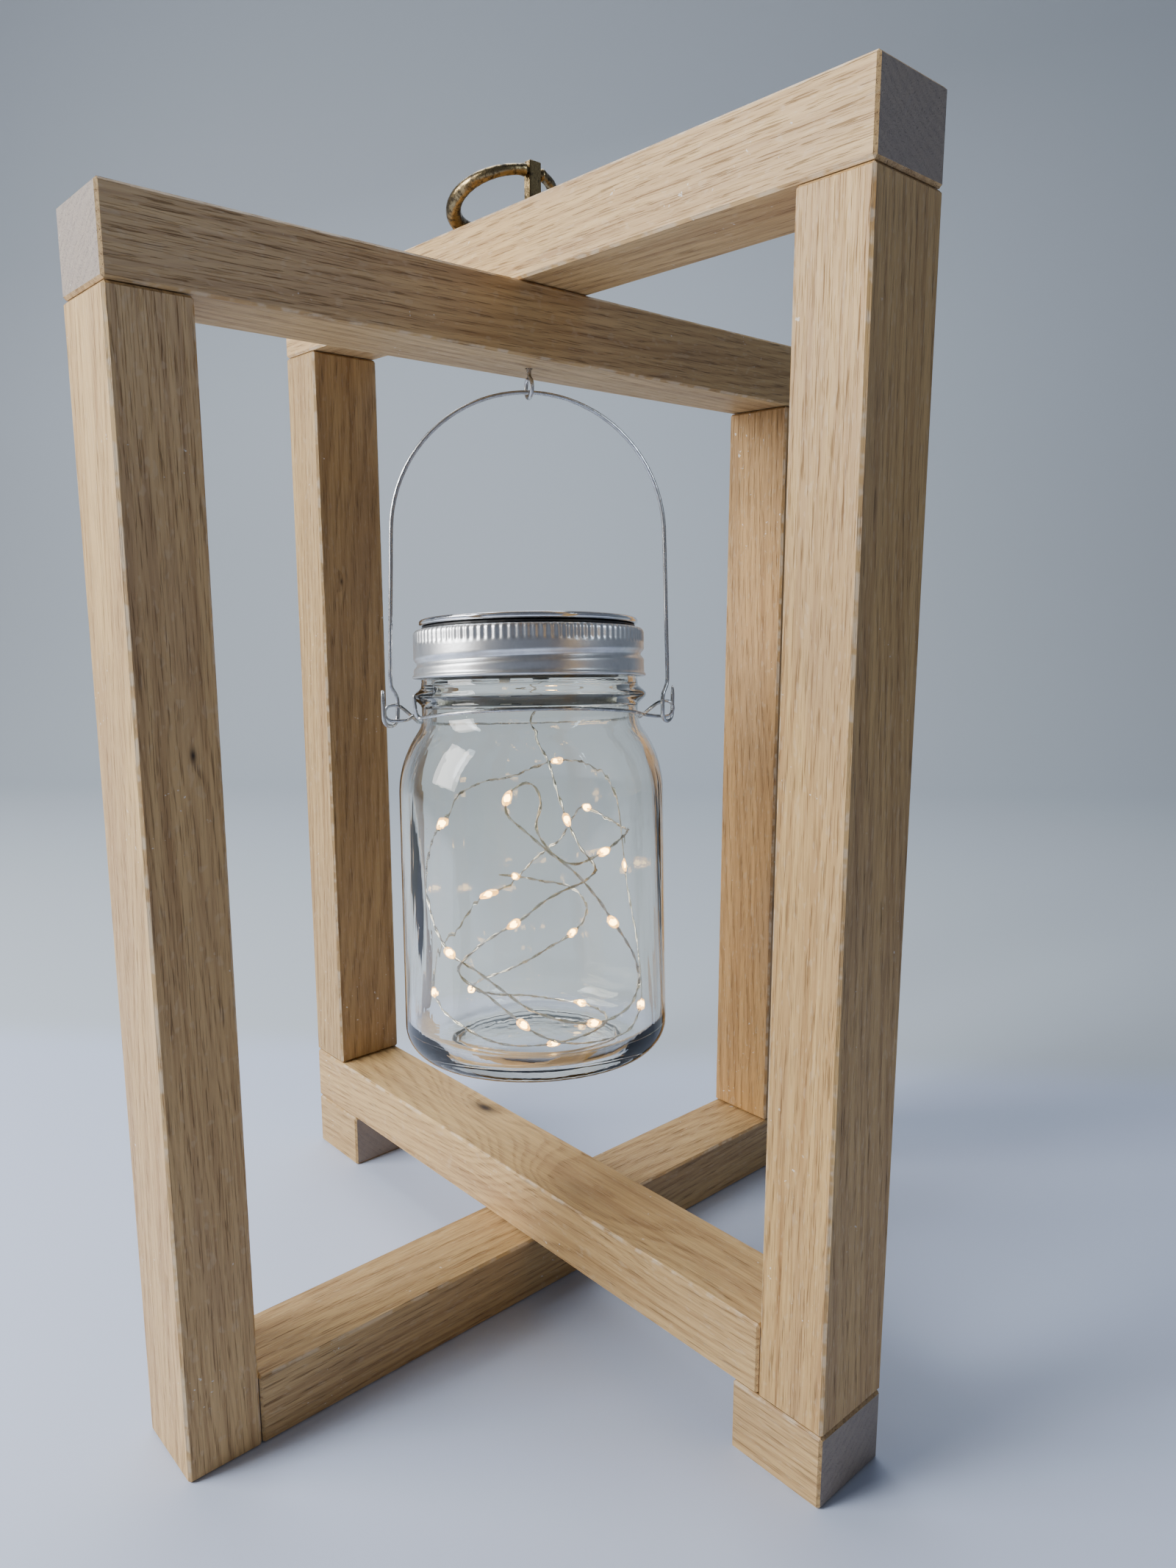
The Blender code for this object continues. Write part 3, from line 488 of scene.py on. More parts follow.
    def build(self) -> None:
        """Build the whole studio."""
        self.camera()
        self.floor()
        self.lights()
        self.world()


# ---------------------------------------------------------------- finishes


class Grain(Enum):
    """Which way a timber runs."""

    UPPER_RAIL = "upper rail"
    LOWER_RAIL = "lower rail"
    UPPER_POST = "upper post"
    LOWER_POST = "lower post"

    def axes(self) -> tuple[Point, Point, Point]:
        """Directions along the timber, across its frame and in its frame."""
        half = math.sqrt(0.5)
        upper, lower, up = (half, -half, 0.0), (-half, -half, 0.0), (0.0, 0.0, 1.0)
        table = {
            Grain.UPPER_RAIL: (upper, lower, up),
            Grain.LOWER_RAIL: (lower, upper, up),
            Grain.UPPER_POST: (up, lower, upper),
            Grain.LOWER_POST: (up, upper, lower),
        }
        return table[self]


@dataclass(frozen=True)
class Knot:
    """A knot in a timber: millimetres along, across and in its frame, and its size."""

    along: float
    across: float
    level: float
    size: float
    dark: float = 0.9


@dataclass(frozen=True)
class Oak:
    """Oiled oak with growth rings, pores and rays, arrises paled partly by wear and partly by a painted
    highlight, and end grain greyed partly by its own colour and partly by a painted sheen.
    """

    name: str
    grain: Grain
    centre: tuple[float, float]
    pith: tuple[float, float] = (60.0, -80.0)
    taper: float = 0.05
    shift: float = 0.0
    tone: float = 1.0
    sway: float = 12.0
    knots: tuple[Knot, ...] = ()
    pale: Colour = (0.64, 0.42, 0.185)
    brown: Colour = (0.33, 0.18, 0.070)
    pore: Colour = (0.15, 0.08, 0.035)
    ring_pitch: float = 2.3
    half_width: float = 13.0
    half_depth: float = 10.0

    def material(self) -> bpy.types.Material:
        """Make the finish."""
        graph = Graph(self.name)
        length, side, depth = self.grain.axes()
        u = graph.along(length)
        v = graph.along(side, self.centre[0])
        w = graph.along(depth, self.centre[1])
        slow = graph.vector(u * 0.006 + self.shift, v * 0.015, w * 0.015)
        sway = graph.noise(slow, 1.0, 1.0)
        wander = graph.noise(graph.vector(u * 0.025, v * 0.12, w * 0.12 + self.shift), 1.0, 2.0)
        reach_v = v - self.pith[0] + (sway - 0.5) * self.sway
        reach_w = w - self.pith[1] + (wander - 0.5) * 3.0
        distance = (reach_v * reach_v + reach_w * reach_w).maths("SQRT") + u * self.taper
        heart: Signal | None = None
        for knot in self.knots:
            near_u = (u - knot.along) / (knot.size * 2.4)
            near_v = (v - knot.across) / knot.size
            near_w = (w - knot.level) / knot.size
            near = near_u * near_u + near_v * near_v + near_w * near_w
            pull = (near * -0.35).maths("EXPONENT")
            distance = distance + pull * knot.size * 1.6
            core = (near * -5.0 + (sway - 0.5) * 1.5).maths("EXPONENT") * knot.dark
            heart = core if heart is None else heart.maths("MAXIMUM", core)
        years = graph.noise(graph.vector(distance * 0.13 + self.shift, 0.0, 0.0), 1.0, 1.0) * 3.0
        phase = (distance / self.ring_pitch + years).maths("FRACT")
        early = phase.ease(0.0, 0.10) * phase.ease(0.62, 0.22)
        fibre = graph.noise(graph.vector(u * 0.022, v * 1.4, w * 1.4), 1.0, 4.0, 0.65)
        vessel = graph.noise(graph.vector(u * 0.085 + self.shift, v * 3.0, w * 3.0), 1.0, 2.0, 0.6)
        pores = vessel.ease(0.54, 0.64) * (0.35 + early * 0.45)
        angle = reach_w.maths("ARCTAN2", reach_v)
        ray_place = graph.vector(angle * 130, distance * 0.10, u * 0.30)
        rays = graph.noise(ray_place, 1.0, 1.0).ease(0.60, 0.70)
        patch = graph.noise(graph.vector(u * 0.012, v * 0.05, w * 0.05 + self.shift), 1.0, 3.0)

        streak = graph.noise(graph.vector(u * 0.008, v * 0.45, w * 0.45 + self.shift), 1.0, 2.0)
        grain = early * 0.24 + (fibre - 0.5) * 1.2 + (streak - 0.5) * 1.5 + 0.2
        ripe = graph.mix(grain, self.toned(self.pale), self.toned(self.brown))
        ripe = graph.mix(patch.ease(0.42, 0.72) * 0.45, ripe, self.toned((0.40, 0.25, 0.13)))
        ripe = graph.mix(rays * 0.25, ripe, self.toned((0.66, 0.50, 0.32)))
        ripe = graph.mix(pores * 0.7, ripe, self.toned(self.pore))
        if heart is not None:
            ripe = graph.mix(heart.maths("MINIMUM", 1.0), ripe, (0.035, 0.018, 0.010))
        end_grain_and_sheen = self.end_grain_and_sheen(graph, length)
        # Painted sheen: the end grain is greyed, partly its own colour and partly a painted bluish sheen.
        ripe = graph.mix(end_grain_and_sheen * 0.75, ripe, (0.275, 0.25, 0.245))
        edge = self.edge(graph, v, w)
        worn_edge_and_highlight = edge * graph.noise(size=5.0, detail=3.0).ease(0.45, 0.60)
        # Painted highlight and wear: the arrises are paled, partly worn wood and partly a painted
        # highlight along the eased edges.
        ripe = graph.mix(worn_edge_and_highlight * 0.55, ripe, (0.72, 0.60, 0.44))
        chip = graph.noise(size=1.6, detail=2.0).ease(0.70, 0.74)
        chip = chip * graph.noise(size=22.0).ease(0.56, 0.64)
        ripe = graph.mix(chip * 0.75, ripe, (0.80, 0.76, 0.68))
        relief = fibre * 0.35 - pores * 0.9 + phase * 0.15
        sockets = {
            "Base Color": ripe,
            "Roughness": 0.50 + pores * 0.3 + (fibre - 0.5) * 0.2,
            "Specular IOR Level": 0.35,
            "Normal": graph.bump(relief, 0.16),
        }
        return graph.surface(sockets)

    @staticmethod
    def end_grain_and_sheen(graph: Graph, length: Point) -> Signal:
        """Where the timber's end grain shows, from 0 to 1: where its own grey and a painted bluish sheen
        go.
        """
        normal = graph.node("ShaderNodeNewGeometry")["Normal"]
        inputs = {0: normal, 1: length}
        along = graph.node("ShaderNodeVectorMath", {"operation": "DOT_PRODUCT"}, inputs)["Value"]
        return along.maths("ABSOLUTE").ease(0.75, 0.92)

    def toned(self, colour: Colour) -> Colour:
        """A colour, lighter or darker for this timber."""
        return tuple(min(1.0, part * self.tone) for part in colour)

    def edge(self, graph: Graph, v: Signal, w: Signal) -> Signal:
        """Where two faces meet along the timber, from 0 to 1."""
        side = v.maths("ABSOLUTE").ease(self.half_width - 1.1, self.half_width - 0.3)
        flat = w.maths("ABSOLUTE").ease(self.half_depth - 1.1, self.half_depth - 0.3)
        return side * flat


@dataclass(frozen=True)
class Metal:
    """A bare metal with drawn scratches, small pits and tarnish."""

    name: str
    bright: Colour
    dull: Colour
    rough: float = 0.3
    spot: float = 2.0
    tarnish: float = 0.5
    relief: float = 0.02

    def material(self) -> bpy.types.Material:
        """Make the finish."""
        graph = Graph(self.name)
        broad = graph.noise(size=self.spot, detail=4.0, rough=0.6)
        fine = graph.noise(size=0.25, detail=2.0)
        stain = broad.ease(0.42, 0.68) * self.tarnish
        sockets = {
            "Base Color": graph.mix(stain, self.bright, self.dull),
            "Metallic": 1.0,
            "Roughness": self.rough + stain * 0.22 + (fine - 0.5) * 0.12,
            "Normal": graph.bump(fine * 0.4 + broad, self.relief),
        }
        return graph.surface(sockets)


@dataclass(frozen=True)
class PressedAluminium:
    """Rolled aluminium with fine rings of the press, dull in its grooves."""

    name: str = "pressed_aluminium"
    axis: Point = JarPlace().axis()

    def material(self) -> bpy.types.Material:
        """Make the finish."""
        graph = Graph(self.name)
        level = graph.along(self.axis)
        rings = graph.noise(graph.vector(level * 9, 0.0, 0.0), 1.0, 2.0)
        smear = graph.noise(size=4.0, detail=4.0)
        dents = graph.noise(size=1.1, detail=2.0)
        sockets = {
            "Base Color": graph.mix(smear.ease(0.4, 0.7) * 0.5, (0.80, 0.81, 0.82), (0.55, 0.56, 0.58)),
            "Metallic": 1.0,
            "Roughness": 0.24 + smear * 0.16 + rings * 0.08,
            "Normal": graph.bump(rings * 0.25 + dents * 0.6, 0.03),
        }
        return graph.surface(sockets)


@dataclass(frozen=True)
class ClearGlass:
    """Pressed soda glass with a faint yellow-green cast."""

    name: str = "clear_glass"
    draw: float = 0.12
    index: float = 1.46

    def material(self) -> bpy.types.Material:
        """Make the finish."""
        graph = Graph(self.name)
        across, ahead = graph.along((1, 0, 0)), graph.along((0, 1, 0))
        drawn = graph.vector(across, ahead, graph.along((0, 0, self.draw)))
        streak = graph.noise(drawn, 5.0)
        seeds = graph.cells(size=3.4).ease(0.09, 0.05)
        sockets = {
            "Base Color": graph.mix(streak.ease(0.3, 0.7), (0.975, 0.975, 0.925), (0.985, 0.985, 0.95)),
            "Roughness": streak * 0.012,
            "IOR": self.index,
            "Transmission Weight": 1.0,
            "Normal": graph.bump(streak * 0.9 + seeds * 0.1, 0.10),
        }
        return graph.surface(sockets)


@dataclass(frozen=True)
class Moulded:
    """Moulded plastic or rubber with a fine spark-eroded grain and rubbed patches."""

    name: str
    colour: Colour
    rubbed: Colour
    rough: float = 0.55
    grain: float = 0.35
    relief: float = 0.03

    def material(self) -> bpy.types.Material:
        """Make the finish."""
        graph = Graph(self.name)
        grain = graph.noise(size=self.grain, detail=2.0)
        wear = graph.noise(size=7.0, detail=4.0).ease(0.45, 0.75)
        sockets = {
            "Base Color": graph.mix(wear * 0.6 + (grain - 0.5) * 0.3, self.colour, self.rubbed),
            "Roughness": self.rough + (grain - 0.5) * 0.2 - wear * 0.1,
            "Normal": graph.bump(grain, self.relief),
        }
        return graph.surface(sockets)


@dataclass(frozen=True)
class SolarCells:
    """Dark cells under clear resin: bus bars, fine fingers and crystal patches."""

    name: str = "solar_cells"
    cell: float = 11.6
    gap: float = 0.5
    finger: float = 1.25

    def material(self) -> bpy.types.Material:
        """Make the finish."""
        graph = Graph(self.name)
        turned = JAR.to_3x3()
        across = graph.along(tuple((turned @ Vector((1, 0, 0))).normalized()), 1.4)
        ahead = graph.along(tuple((turned @ Vector((0, 1, 0))).normalized()), 14.0)
        gaps = self.lines(across, self.cell, self.gap)
        gaps = gaps.maths("MAXIMUM", self.lines(ahead, self.cell * 2, self.gap))
        bus = self.lines(across - self.cell / 2, self.cell, 0.9)
        fingers = self.lines(ahead, self.finger, 0.13)
        crystal = graph.cells(size=2.6)
        base = graph.mix(crystal.ease(0.1, 0.9), (0.006, 0.012, 0.045), (0.018, 0.034, 0.10))
        base = graph.mix(fingers * 0.75, base, (0.30, 0.31, 0.33))
        base = graph.mix(bus, base, (0.50, 0.51, 0.52))
        base = graph.mix(gaps, base, (0.55, 0.56, 0.56))
        sockets = {
            "Base Color": base,
            "Roughness": 0.28 + crystal * 0.1,
            "Coat Weight": 1.0,
            "Coat Roughness": 0.06,
            "Normal": graph.bump(fingers + bus, 0.03),
        }
        return graph.surface(sockets)

    @staticmethod
    def lines(place: Signal, pitch: float, width: float) -> Signal:
        """Thin lines of a width at every pitch."""
        share = (place / pitch).maths("FRACT")
        share = share.maths("ADD", 1.0).maths("FRACT") - 0.5
        return share.maths("ABSOLUTE").ease(0.5 - 0.7 * width / pitch, 0.5 - 0.3 * width / pitch)


@dataclass(frozen=True)
class CircuitBoard:
    """Green solder mask over copper tracks, with tinned pads."""

    name: str = "board_mask"

    def material(self) -> bpy.types.Material:
        """Make the finish."""
        graph = Graph(self.name)
        track = graph.cells(size=2.4).ease(0.30, 0.26)
        pad = graph.cells(size=5.0).ease(0.20, 0.17)
        base = graph.mix(track * 0.6, (0.010, 0.11, 0.035), (0.03, 0.22, 0.06))
        base = graph.mix(pad, base, (0.66, 0.64, 0.58))
        sockets = {
            "Base Color": base,
            "Roughness": 0.34 - pad * 0.08,
            "Metallic": pad * 0.9,
            "Normal": graph.bump(track + pad, 0.04),
        }
        return graph.surface(sockets)


@dataclass(frozen=True)
class Glow:
    """Warm light-emitting matter, cloudy inside: the resin of a lamp or the chip in its middle."""

    name: str
    amber: Colour
    warm: Colour
    strength: float
    clear: float

    def material(self) -> bpy.types.Material:
        """Make the finish."""
        graph = Graph(self.name)
        cloud = graph.noise(size=0.9, detail=2.0)
        sockets = {
            "Base Color": graph.mix(cloud, (0.98, 0.80, 0.46), (0.97, 0.90, 0.74)),
            "Roughness": 0.08 + cloud * 0.10,
            "IOR": 1.45,
            "Transmission Weight": self.clear,
            "Emission Color": graph.mix(cloud.ease(0.40, 0.60), self.amber, self.warm),
            "Emission Strength": self.strength,
            "Normal": graph.bump(cloud, 0.05),
        }
        return graph.surface(sockets)


# ---------------------------------------------------------------- string of lights


@dataclass
class LightString:
    """Two fine silver strands from the lid's grommet, coiled in the jar, with lamps on them.

    The route is in the jar's own frame, in millimetres.
    """

    strand: float = 0.23
    pair: float = 0.24
    twist: float = 11.0
    diameter: float = 0.9
    lamp_pitch: float = 50.0
    lamp_first: float = 47.0
    lamp_size: Flat = (1.25, 2.4)
    lamp_taper: float = 0.22
    chip_share: float = 0.5
    step: float = 1.5
    sides: int = 6
    split: int = 6
    split_blend: Flat = (92.5, 98.5)
    lead_blend: Flat = (99.5, 113.0)
    lead: tuple[Point, ...] = (
        (3.6, 0.5, 116.4), (3.5, 0.4, 113.6), (2.6, 0.1, 110.8), (1.2, -0.1, 108.2),
        (0.1, -0.2, 105.8), (0.3, -0.6, 103.2), (1.8, -2.0, 99.0), (4.2, -4.5, 93.5),
        (5.6, -7.0, 88.5), (6.4, -9.0, 84.6),
    )
    coils: tuple[Point, ...] = (
        (9.0, -14.0, 75.0), (12.6, -20.0, 67.0), (16.0, -25.0, 61.5), (11.0, -29.5, 58.2),
        (5.0, -32.0, 56.5), (-1.0, -33.0, 53.5), (-7.0, -32.8, 49.0), (-14.0, -30.6, 44.5),
        (-20.0, -28.0, 39.8), (-25.0, -23.5, 33.5), (-23.4, -24.0, 29.5), (-18.0, -28.0, 26.5),
        (-11.0, -30.5, 20.5), (-4.0, -31.0, 14.5), (3.0, -31.0, 11.4), (10.0, -30.0, 10.0),
        (17.0, -27.0, 9.6), (24.5, -22.5, 10.5), (30.0, -15.5, 14.0), (33.4, -8.0, 18.5),
        (35.0, 0.5, 25.0), (34.6, 7.0, 34.0), (33.0, 12.0, 44.0), (31.6, 15.5, 56.0),
        (31.4, 16.0, 67.0), (30.6, 16.5, 77.0), (27.5, 17.5, 85.0), (22.0, 20.5, 90.0),
        (15.0, 23.0, 91.8), (8.0, 25.0, 91.0), (1.0, 26.0, 88.0), (-6.0, 25.5, 86.0),
        (-13.0, 24.0, 85.0), (-20.0, 20.5, 82.5), (-26.0, 16.0, 77.0), (-30.5, 11.0, 70.0),
        (-33.6, 5.0, 63.0), (-34.6, -2.0, 56.0), (-33.0, -9.0, 48.5), (-30.0, -15.5, 41.5),
        (-26.5, -22.0, 36.6), (-20.0, -27.5, 33.0), (-13.0, -30.0, 27.5), (-6.0, -31.0, 22.0),
        (1.5, -32.6, 19.0), (9.0, -32.0, 17.0), (17.0, -29.6, 16.6), (25.0, -24.0, 19.0),
        (29.5, -18.0, 24.5), (28.0, -20.0, 32.0), (24.0, -24.0, 39.0), (19.5, -27.5, 46.0),
        (15.5, -29.5, 53.0), (9.0, -31.5, 61.0), (1.5, -31.5, 67.5), (-5.0, -29.5, 73.5),
        (-10.5, -26.5, 79.0), (-9.0, -25.5, 85.0), (-3.5, -26.0, 87.5), (-0.5, -27.0, 82.0),
        (-2.0, -29.0, 74.0), (3.5, -31.0, 66.0), (9.5, -31.0, 64.0), (17.0, -27.5, 66.5),
        (23.5, -20.5, 69.5), (28.0, -11.5, 71.0), (29.0, -2.0, 70.5), (26.5, 8.0, 71.5),
        (20.5, 16.0, 76.0), (17.0, 22.0, 72.0), (12.0, 27.0, 64.0), (4.0, 30.5, 57.0),
        (-5.0, 31.5, 50.0), (-14.0, 29.5, 44.5), (-22.0, 25.0, 38.0), (-28.5, 18.0, 31.5),
        (-32.0, 9.5, 26.0), (-33.0, 0.5, 22.0), (-30.5, -9.5, 18.5), (-25.0, -18.5, 15.0),
        (-17.5, -24.5, 11.5), (-9.0, -27.0, 9.6), (0.0, -26.0, 9.0), (9.0, -22.0, 9.2),
        (17.0, -15.0, 9.5), (22.0, -6.0, 9.8), (22.5, 4.0, 10.0), (18.5, 13.0, 10.0),
        (11.0, 19.5, 10.0), (2.0, 22.5, 10.5), (-7.5, 21.5, 12.0), (-15.5, 17.0, 14.5),
        (-20.5, 9.5, 17.5), (-21.0, 1.0, 21.0), (-17.5, -6.0, 25.0), (-10.0, -11.0, 29.0),
        (-1.0, -12.0, 33.0), (8.0, -9.0, 37.0), (16.0, -2.0, 41.0), (19.5, 7.0, 45.0),
        (16.0, 15.5, 48.5), (8.0, 20.0, 51.0), (-2.0, 20.5, 53.0), (-10.5, 16.0, 54.5),
    )

    def smooth(self, points: list[Vector]) -> list[Vector]:
        """Read evenly spaced points from a smooth curve through the given ones."""
        ends = [2 * points[0] - points[1], *points, 2 * points[-1] - points[-2]]
        dense = []
        for a, b, c, d in zip(ends, ends[1:], ends[2:], ends[3:]):
            for step in range(16):
                t = step / 16
                bow = (2 * a - 5 * b + 4 * c - d) * t**2 + (3 * b - a - 3 * c + d) * t**3
                dense.append(0.5 * (2 * b + (c - a) * t + bow))
        dense.append(points[-1])
        lengths = [0.0]
        for before, after in zip(dense, dense[1:]):
            lengths.append(lengths[-1] + (after - before).length)
        count = round(lengths[-1] / self.step)
        even, index = [], 0
        for place in range(count + 1):
            target = lengths[-1] * place / count
            while index < len(lengths) - 2 and lengths[index + 1] < target:
                index += 1
            span = max(lengths[index + 1] - lengths[index], 1e-9)
            even.append(dense[index].lerp(dense[index + 1], (target - lengths[index]) / span))
        return even

    def frames(self, route: list[Vector]) -> list[tuple[Vector, Vector, Vector]]:
        """A steady pair of cross directions and the tangent at each point of a route."""
        made = []
        side = Vector((1, 0, 0))
        for index, _ in enumerate(route):
            ahead = route[min(index + 1, len(route) - 1)] - route[max(index - 1, 0)]
            ahead.normalize()
            side = (side - ahead * side.dot(ahead)).normalized()
            made.append((side.copy(), ahead.cross(side), ahead))
        return made

    def strands(self, name: str, route: list[Vector], material: bpy.types.Material) -> bpy.types.Object:
        """Sweep both strands along a route, each a thin tube with closed ends."""
        shape = Shape()
        frames = self.frames(route)
        for start in (0.0, HALF_TURN):
            sizes = {"radius": self.strand, "segments": self.sides}
            ring = bmesh.ops.create_circle(shape.mesh, cap_ends=True, **sizes)["verts"]
            for index, (place, (side, cross, ahead)) in enumerate(zip(route, frames)):
                if index:
                    edges = list({edge for vert in ring for edge in vert.link_edges
                                  if edge.other_vert(vert) in ring})
                    made = bmesh.ops.extrude_edge_only(shape.mesh, edges=edges)["geom"]
                    ring = [part for part in made if isinstance(part, bmesh.types.BMVert)]
                turn = start + FULL_TURN * index * self.step / self.twist
                middle = place + (side * math.cos(turn) + cross * math.sin(turn)) * self.pair
                for spot, vert in enumerate(ring):
                    lay = FULL_TURN * spot / self.sides
                    vert.co = middle + (side * math.cos(lay) + cross * math.sin(lay)) * self.strand
            bmesh.ops.contextual_create(shape.mesh, geom=ring)
        bmesh.ops.recalc_face_normals(shape.mesh, faces=shape.mesh.faces[:])
        return shape.put(JAR).object(name, material, 60)

    def lamps(
        self, name: str, route: list[Vector], share: float, material: bpy.types.Material
    ) -> bpy.types.Object:
        """Thread a drop at every pitch along the route.

        Args:
            name: The piece's name.
            route: The string's route.
            share: The drop's size, as a share of a lamp's.
            material: The drops' finish.

        Returns:
            The drops, as one piece.
        """
        shape = Shape()
        frames = self.frames(route)
        wide, long = (size * share for size in self.lamp_size)
        count = 0
        place = self.lamp_first
        while place < self.step * (len(route) - 1) - 1:
            index = round(place / self.step)
            side, cross, ahead = frames[index]
            turn = Matrix((side, cross, ahead)).transposed().to_4x4()
            drop = bmesh.ops.create_uvsphere(shape.mesh, u_segments=16, v_segments=12, radius=1)["verts"]
            for vert in drop:
                taper = 1 - self.lamp_taper * vert.co.z
                vert.co = Vector((vert.co.x * wide * taper, vert.co.y * wide * taper, vert.co.z * long))
            bmesh.ops.transform(shape.mesh, matrix=Matrix.Translation(route[index]) @ turn, verts=drop)
            place += self.lamp_pitch
            count += 1
        LOG.info("%d lamps in %s", count, name)
        return shape.put(JAR).object(name, material, 80)

    def build(self) -> None:
        """Build the string in two stretches that meet in the neck, and its lamps."""
        silver = Metal("silver_strand", (0.74, 0.71, 0.64), (0.42, 0.36, 0.27), 0.24, 3.0, 0.5).material()
        resin = Glow("lamp_resin", (1.0, 0.42, 0.08), (1.0, 0.58, 0.16), 1.5, 0.85).material()
        chip = Glow("lamp_chip", (1.0, 0.66, 0.26), (1.0, 0.76, 0.36), 16.0, 0.0).material()
        lead = [Vector(point) for point in self.lead]
        route = self.smooth(lead + [Vector(point) for point in self.coils])
        cut = min(range(len(route)), key=lambda index: (route[index] - lead[self.split]).length)
        string = self.strands("light_string", route[cut:], silver)
        stub = self.strands("light_string_lead", route[: cut + 1], silver)
        drops = self.lamps("light_drops", route, 1.0, resin)
        chips = self.lamps("light_chips", route, self.chip_share, chip)
        for piece, slot in ((string, "light_wire"), (drops, "light_heap"), (chips, "light_heap")):
            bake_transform(piece)
        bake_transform(stub)
        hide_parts("light_heap")
        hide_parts("light_lead")
        path = [tuple(JAR @ point) for point in route[cut:]]


# ---------------------------------------------------------------- glass jar


@dataclass
class GlassJar:
    """The jar: a foot ring, upright wall, round shoulder, neck bead, threaded finish and round lip."""

    wall: float = 2.8
    floor: float = 5.5
    height: float = 132.2
    radius: float = 41.6
    base_radius: float = 31.0
    base_corner: float = 10.6
    body_top: float = 83.0
    shoulder_radius: float = 34.0
    neck_fillet: float = 8.0
    neck_radius: float = 34.0
    bead_height: float = 113.4
    bead_radius: float = 36.6
    finish_bottom: float = 117.4
    finish_radius: float = 33.9
    bead_reach: float = 4.0
    bead_width: float = 7.0
    thread: Thread = Thread(start=123.2, turns=1.15, depth=1.2)
    wander: float = 0.30
    segments: int = 216

    def shoulder(self, inset: float, steps: int) -> list[Flat]:
        """Draw the round shoulder and the hollow below the neck.

        Args:
            inset: How far the line lies inside the outer face.
            steps: Points on the shoulder.

        Returns:
            The points, going up.
        """
        middle = self.radius - self.shoulder_radius
        span = self.shoulder_radius + self.neck_fillet
        turn = math.degrees(math.acos(1 - (self.radius - self.neck_radius) / span))
        rise = span * math.sin(math.radians(turn))
        points = arc((middle, self.body_top), self.shoulder_radius - inset, 0, turn, steps)
        hollow = (self.neck_radius + self.neck_fillet, self.body_top + rise)
        return points + arc(hollow, self.neck_fillet + inset, 180 + turn, 180, steps // 2)[1:]

    def outline(self) -> list[Flat]:
        """The whole profile, up the outside and down the inside."""
        foot = [(0.0, 1.6), (self.base_radius - 8, 1.6), (self.base_radius - 6.4, 1.3)]
        foot += arc((self.base_radius - 3.6, 1.5), 1.5, 200, 270, 6)
        corner = self.base_corner
        foot += arc((self.radius - corner, corner), corner, -90, 0, 14)
        foot += straight(foot[-1], (self.radius, self.body_top), 8)
        foot += self.shoulder(0, 16)[1:]
        below = self.bead_height - self.bead_reach
        foot += [(self.neck_radius, below + step * 0.4) for step in range(21)]
        finish = self.finish_radius
        foot += straight((finish, self.finish_bottom), (finish, self.height - 1.2), 30)
        lip = self.wall / 2
        foot += arc((self.finish_radius - lip, self.height - lip), lip, 20, 160, 10)
        inner = self.finish_radius - self.wall
        inside = [(inner, self.height - lip * 2)] + list(reversed(self.shoulder(self.wall, 14)))
        body = self.radius - self.wall
        inside += straight((body, self.body_top), (body, self.floor + corner - self.wall), 14)
        middle = (body - corner + self.wall, self.floor + corner - self.wall)
        inside += arc(middle, corner - self.wall, 0, -90, 10)[1:]
        inside += straight(inside[-1], (0.0, self.floor + 0.7), 8)
        return foot + inside

    def relief(self, place: Vector) -> Vector:
        """Raise the neck bead and the thread, and let the inner wall wander as blown glass does."""
        reach = math.hypot(place.x, place.y)
        if reach < 1:
            return place
        angle = math.atan2(place.y, place.x) % FULL_TURN
        bead = self.bead_radius - self.neck_radius
        made = reach
        if reach > self.neck_radius - 0.2 and abs(place.z - self.bead_height) < self.bead_reach + 0.2:
            made += bead * ridge(place.z - self.bead_height, self.bead_width)
        if reach > self.finish_radius - 0.05 and place.z > self.finish_bottom + 1:
            made += self.thread.depth * self.thread.rise(place.z, angle)
        low = self.floor + 4
        inner = reach < self.radius - self.wall + 0.1 and low < place.z < self.body_top + 12
        if inner and reach > self.radius - self.wall - 7:
            slow = math.sin(3 * angle + 0.03 * place.z) + 0.6 * math.sin(7 * angle + 1.3 - 0.02 * place.z)
            quick = 0.35 * math.sin(15 * angle + 0.5 + 0.04 * place.z)
            swell = math.sin(HALF_TURN * (place.z - self.floor - 4) / (self.body_top + 8 - self.floor))
            made += self.wander * (slow + quick) * swell
        return Vector((place.x * made / reach, place.y * made / reach, place.z))

    def build(self) -> None:
        """Build and dress the jar."""
        shape = Shape.turned(self.outline(), self.segments).bend(self.relief).put(JAR)
        piece = shape.object("glass_jar_blown", ClearGlass().material(), 60)
        settle(piece, "jar", "clear_glass", "glass_jar")


# ---------------------------------------------------------------- band and lid


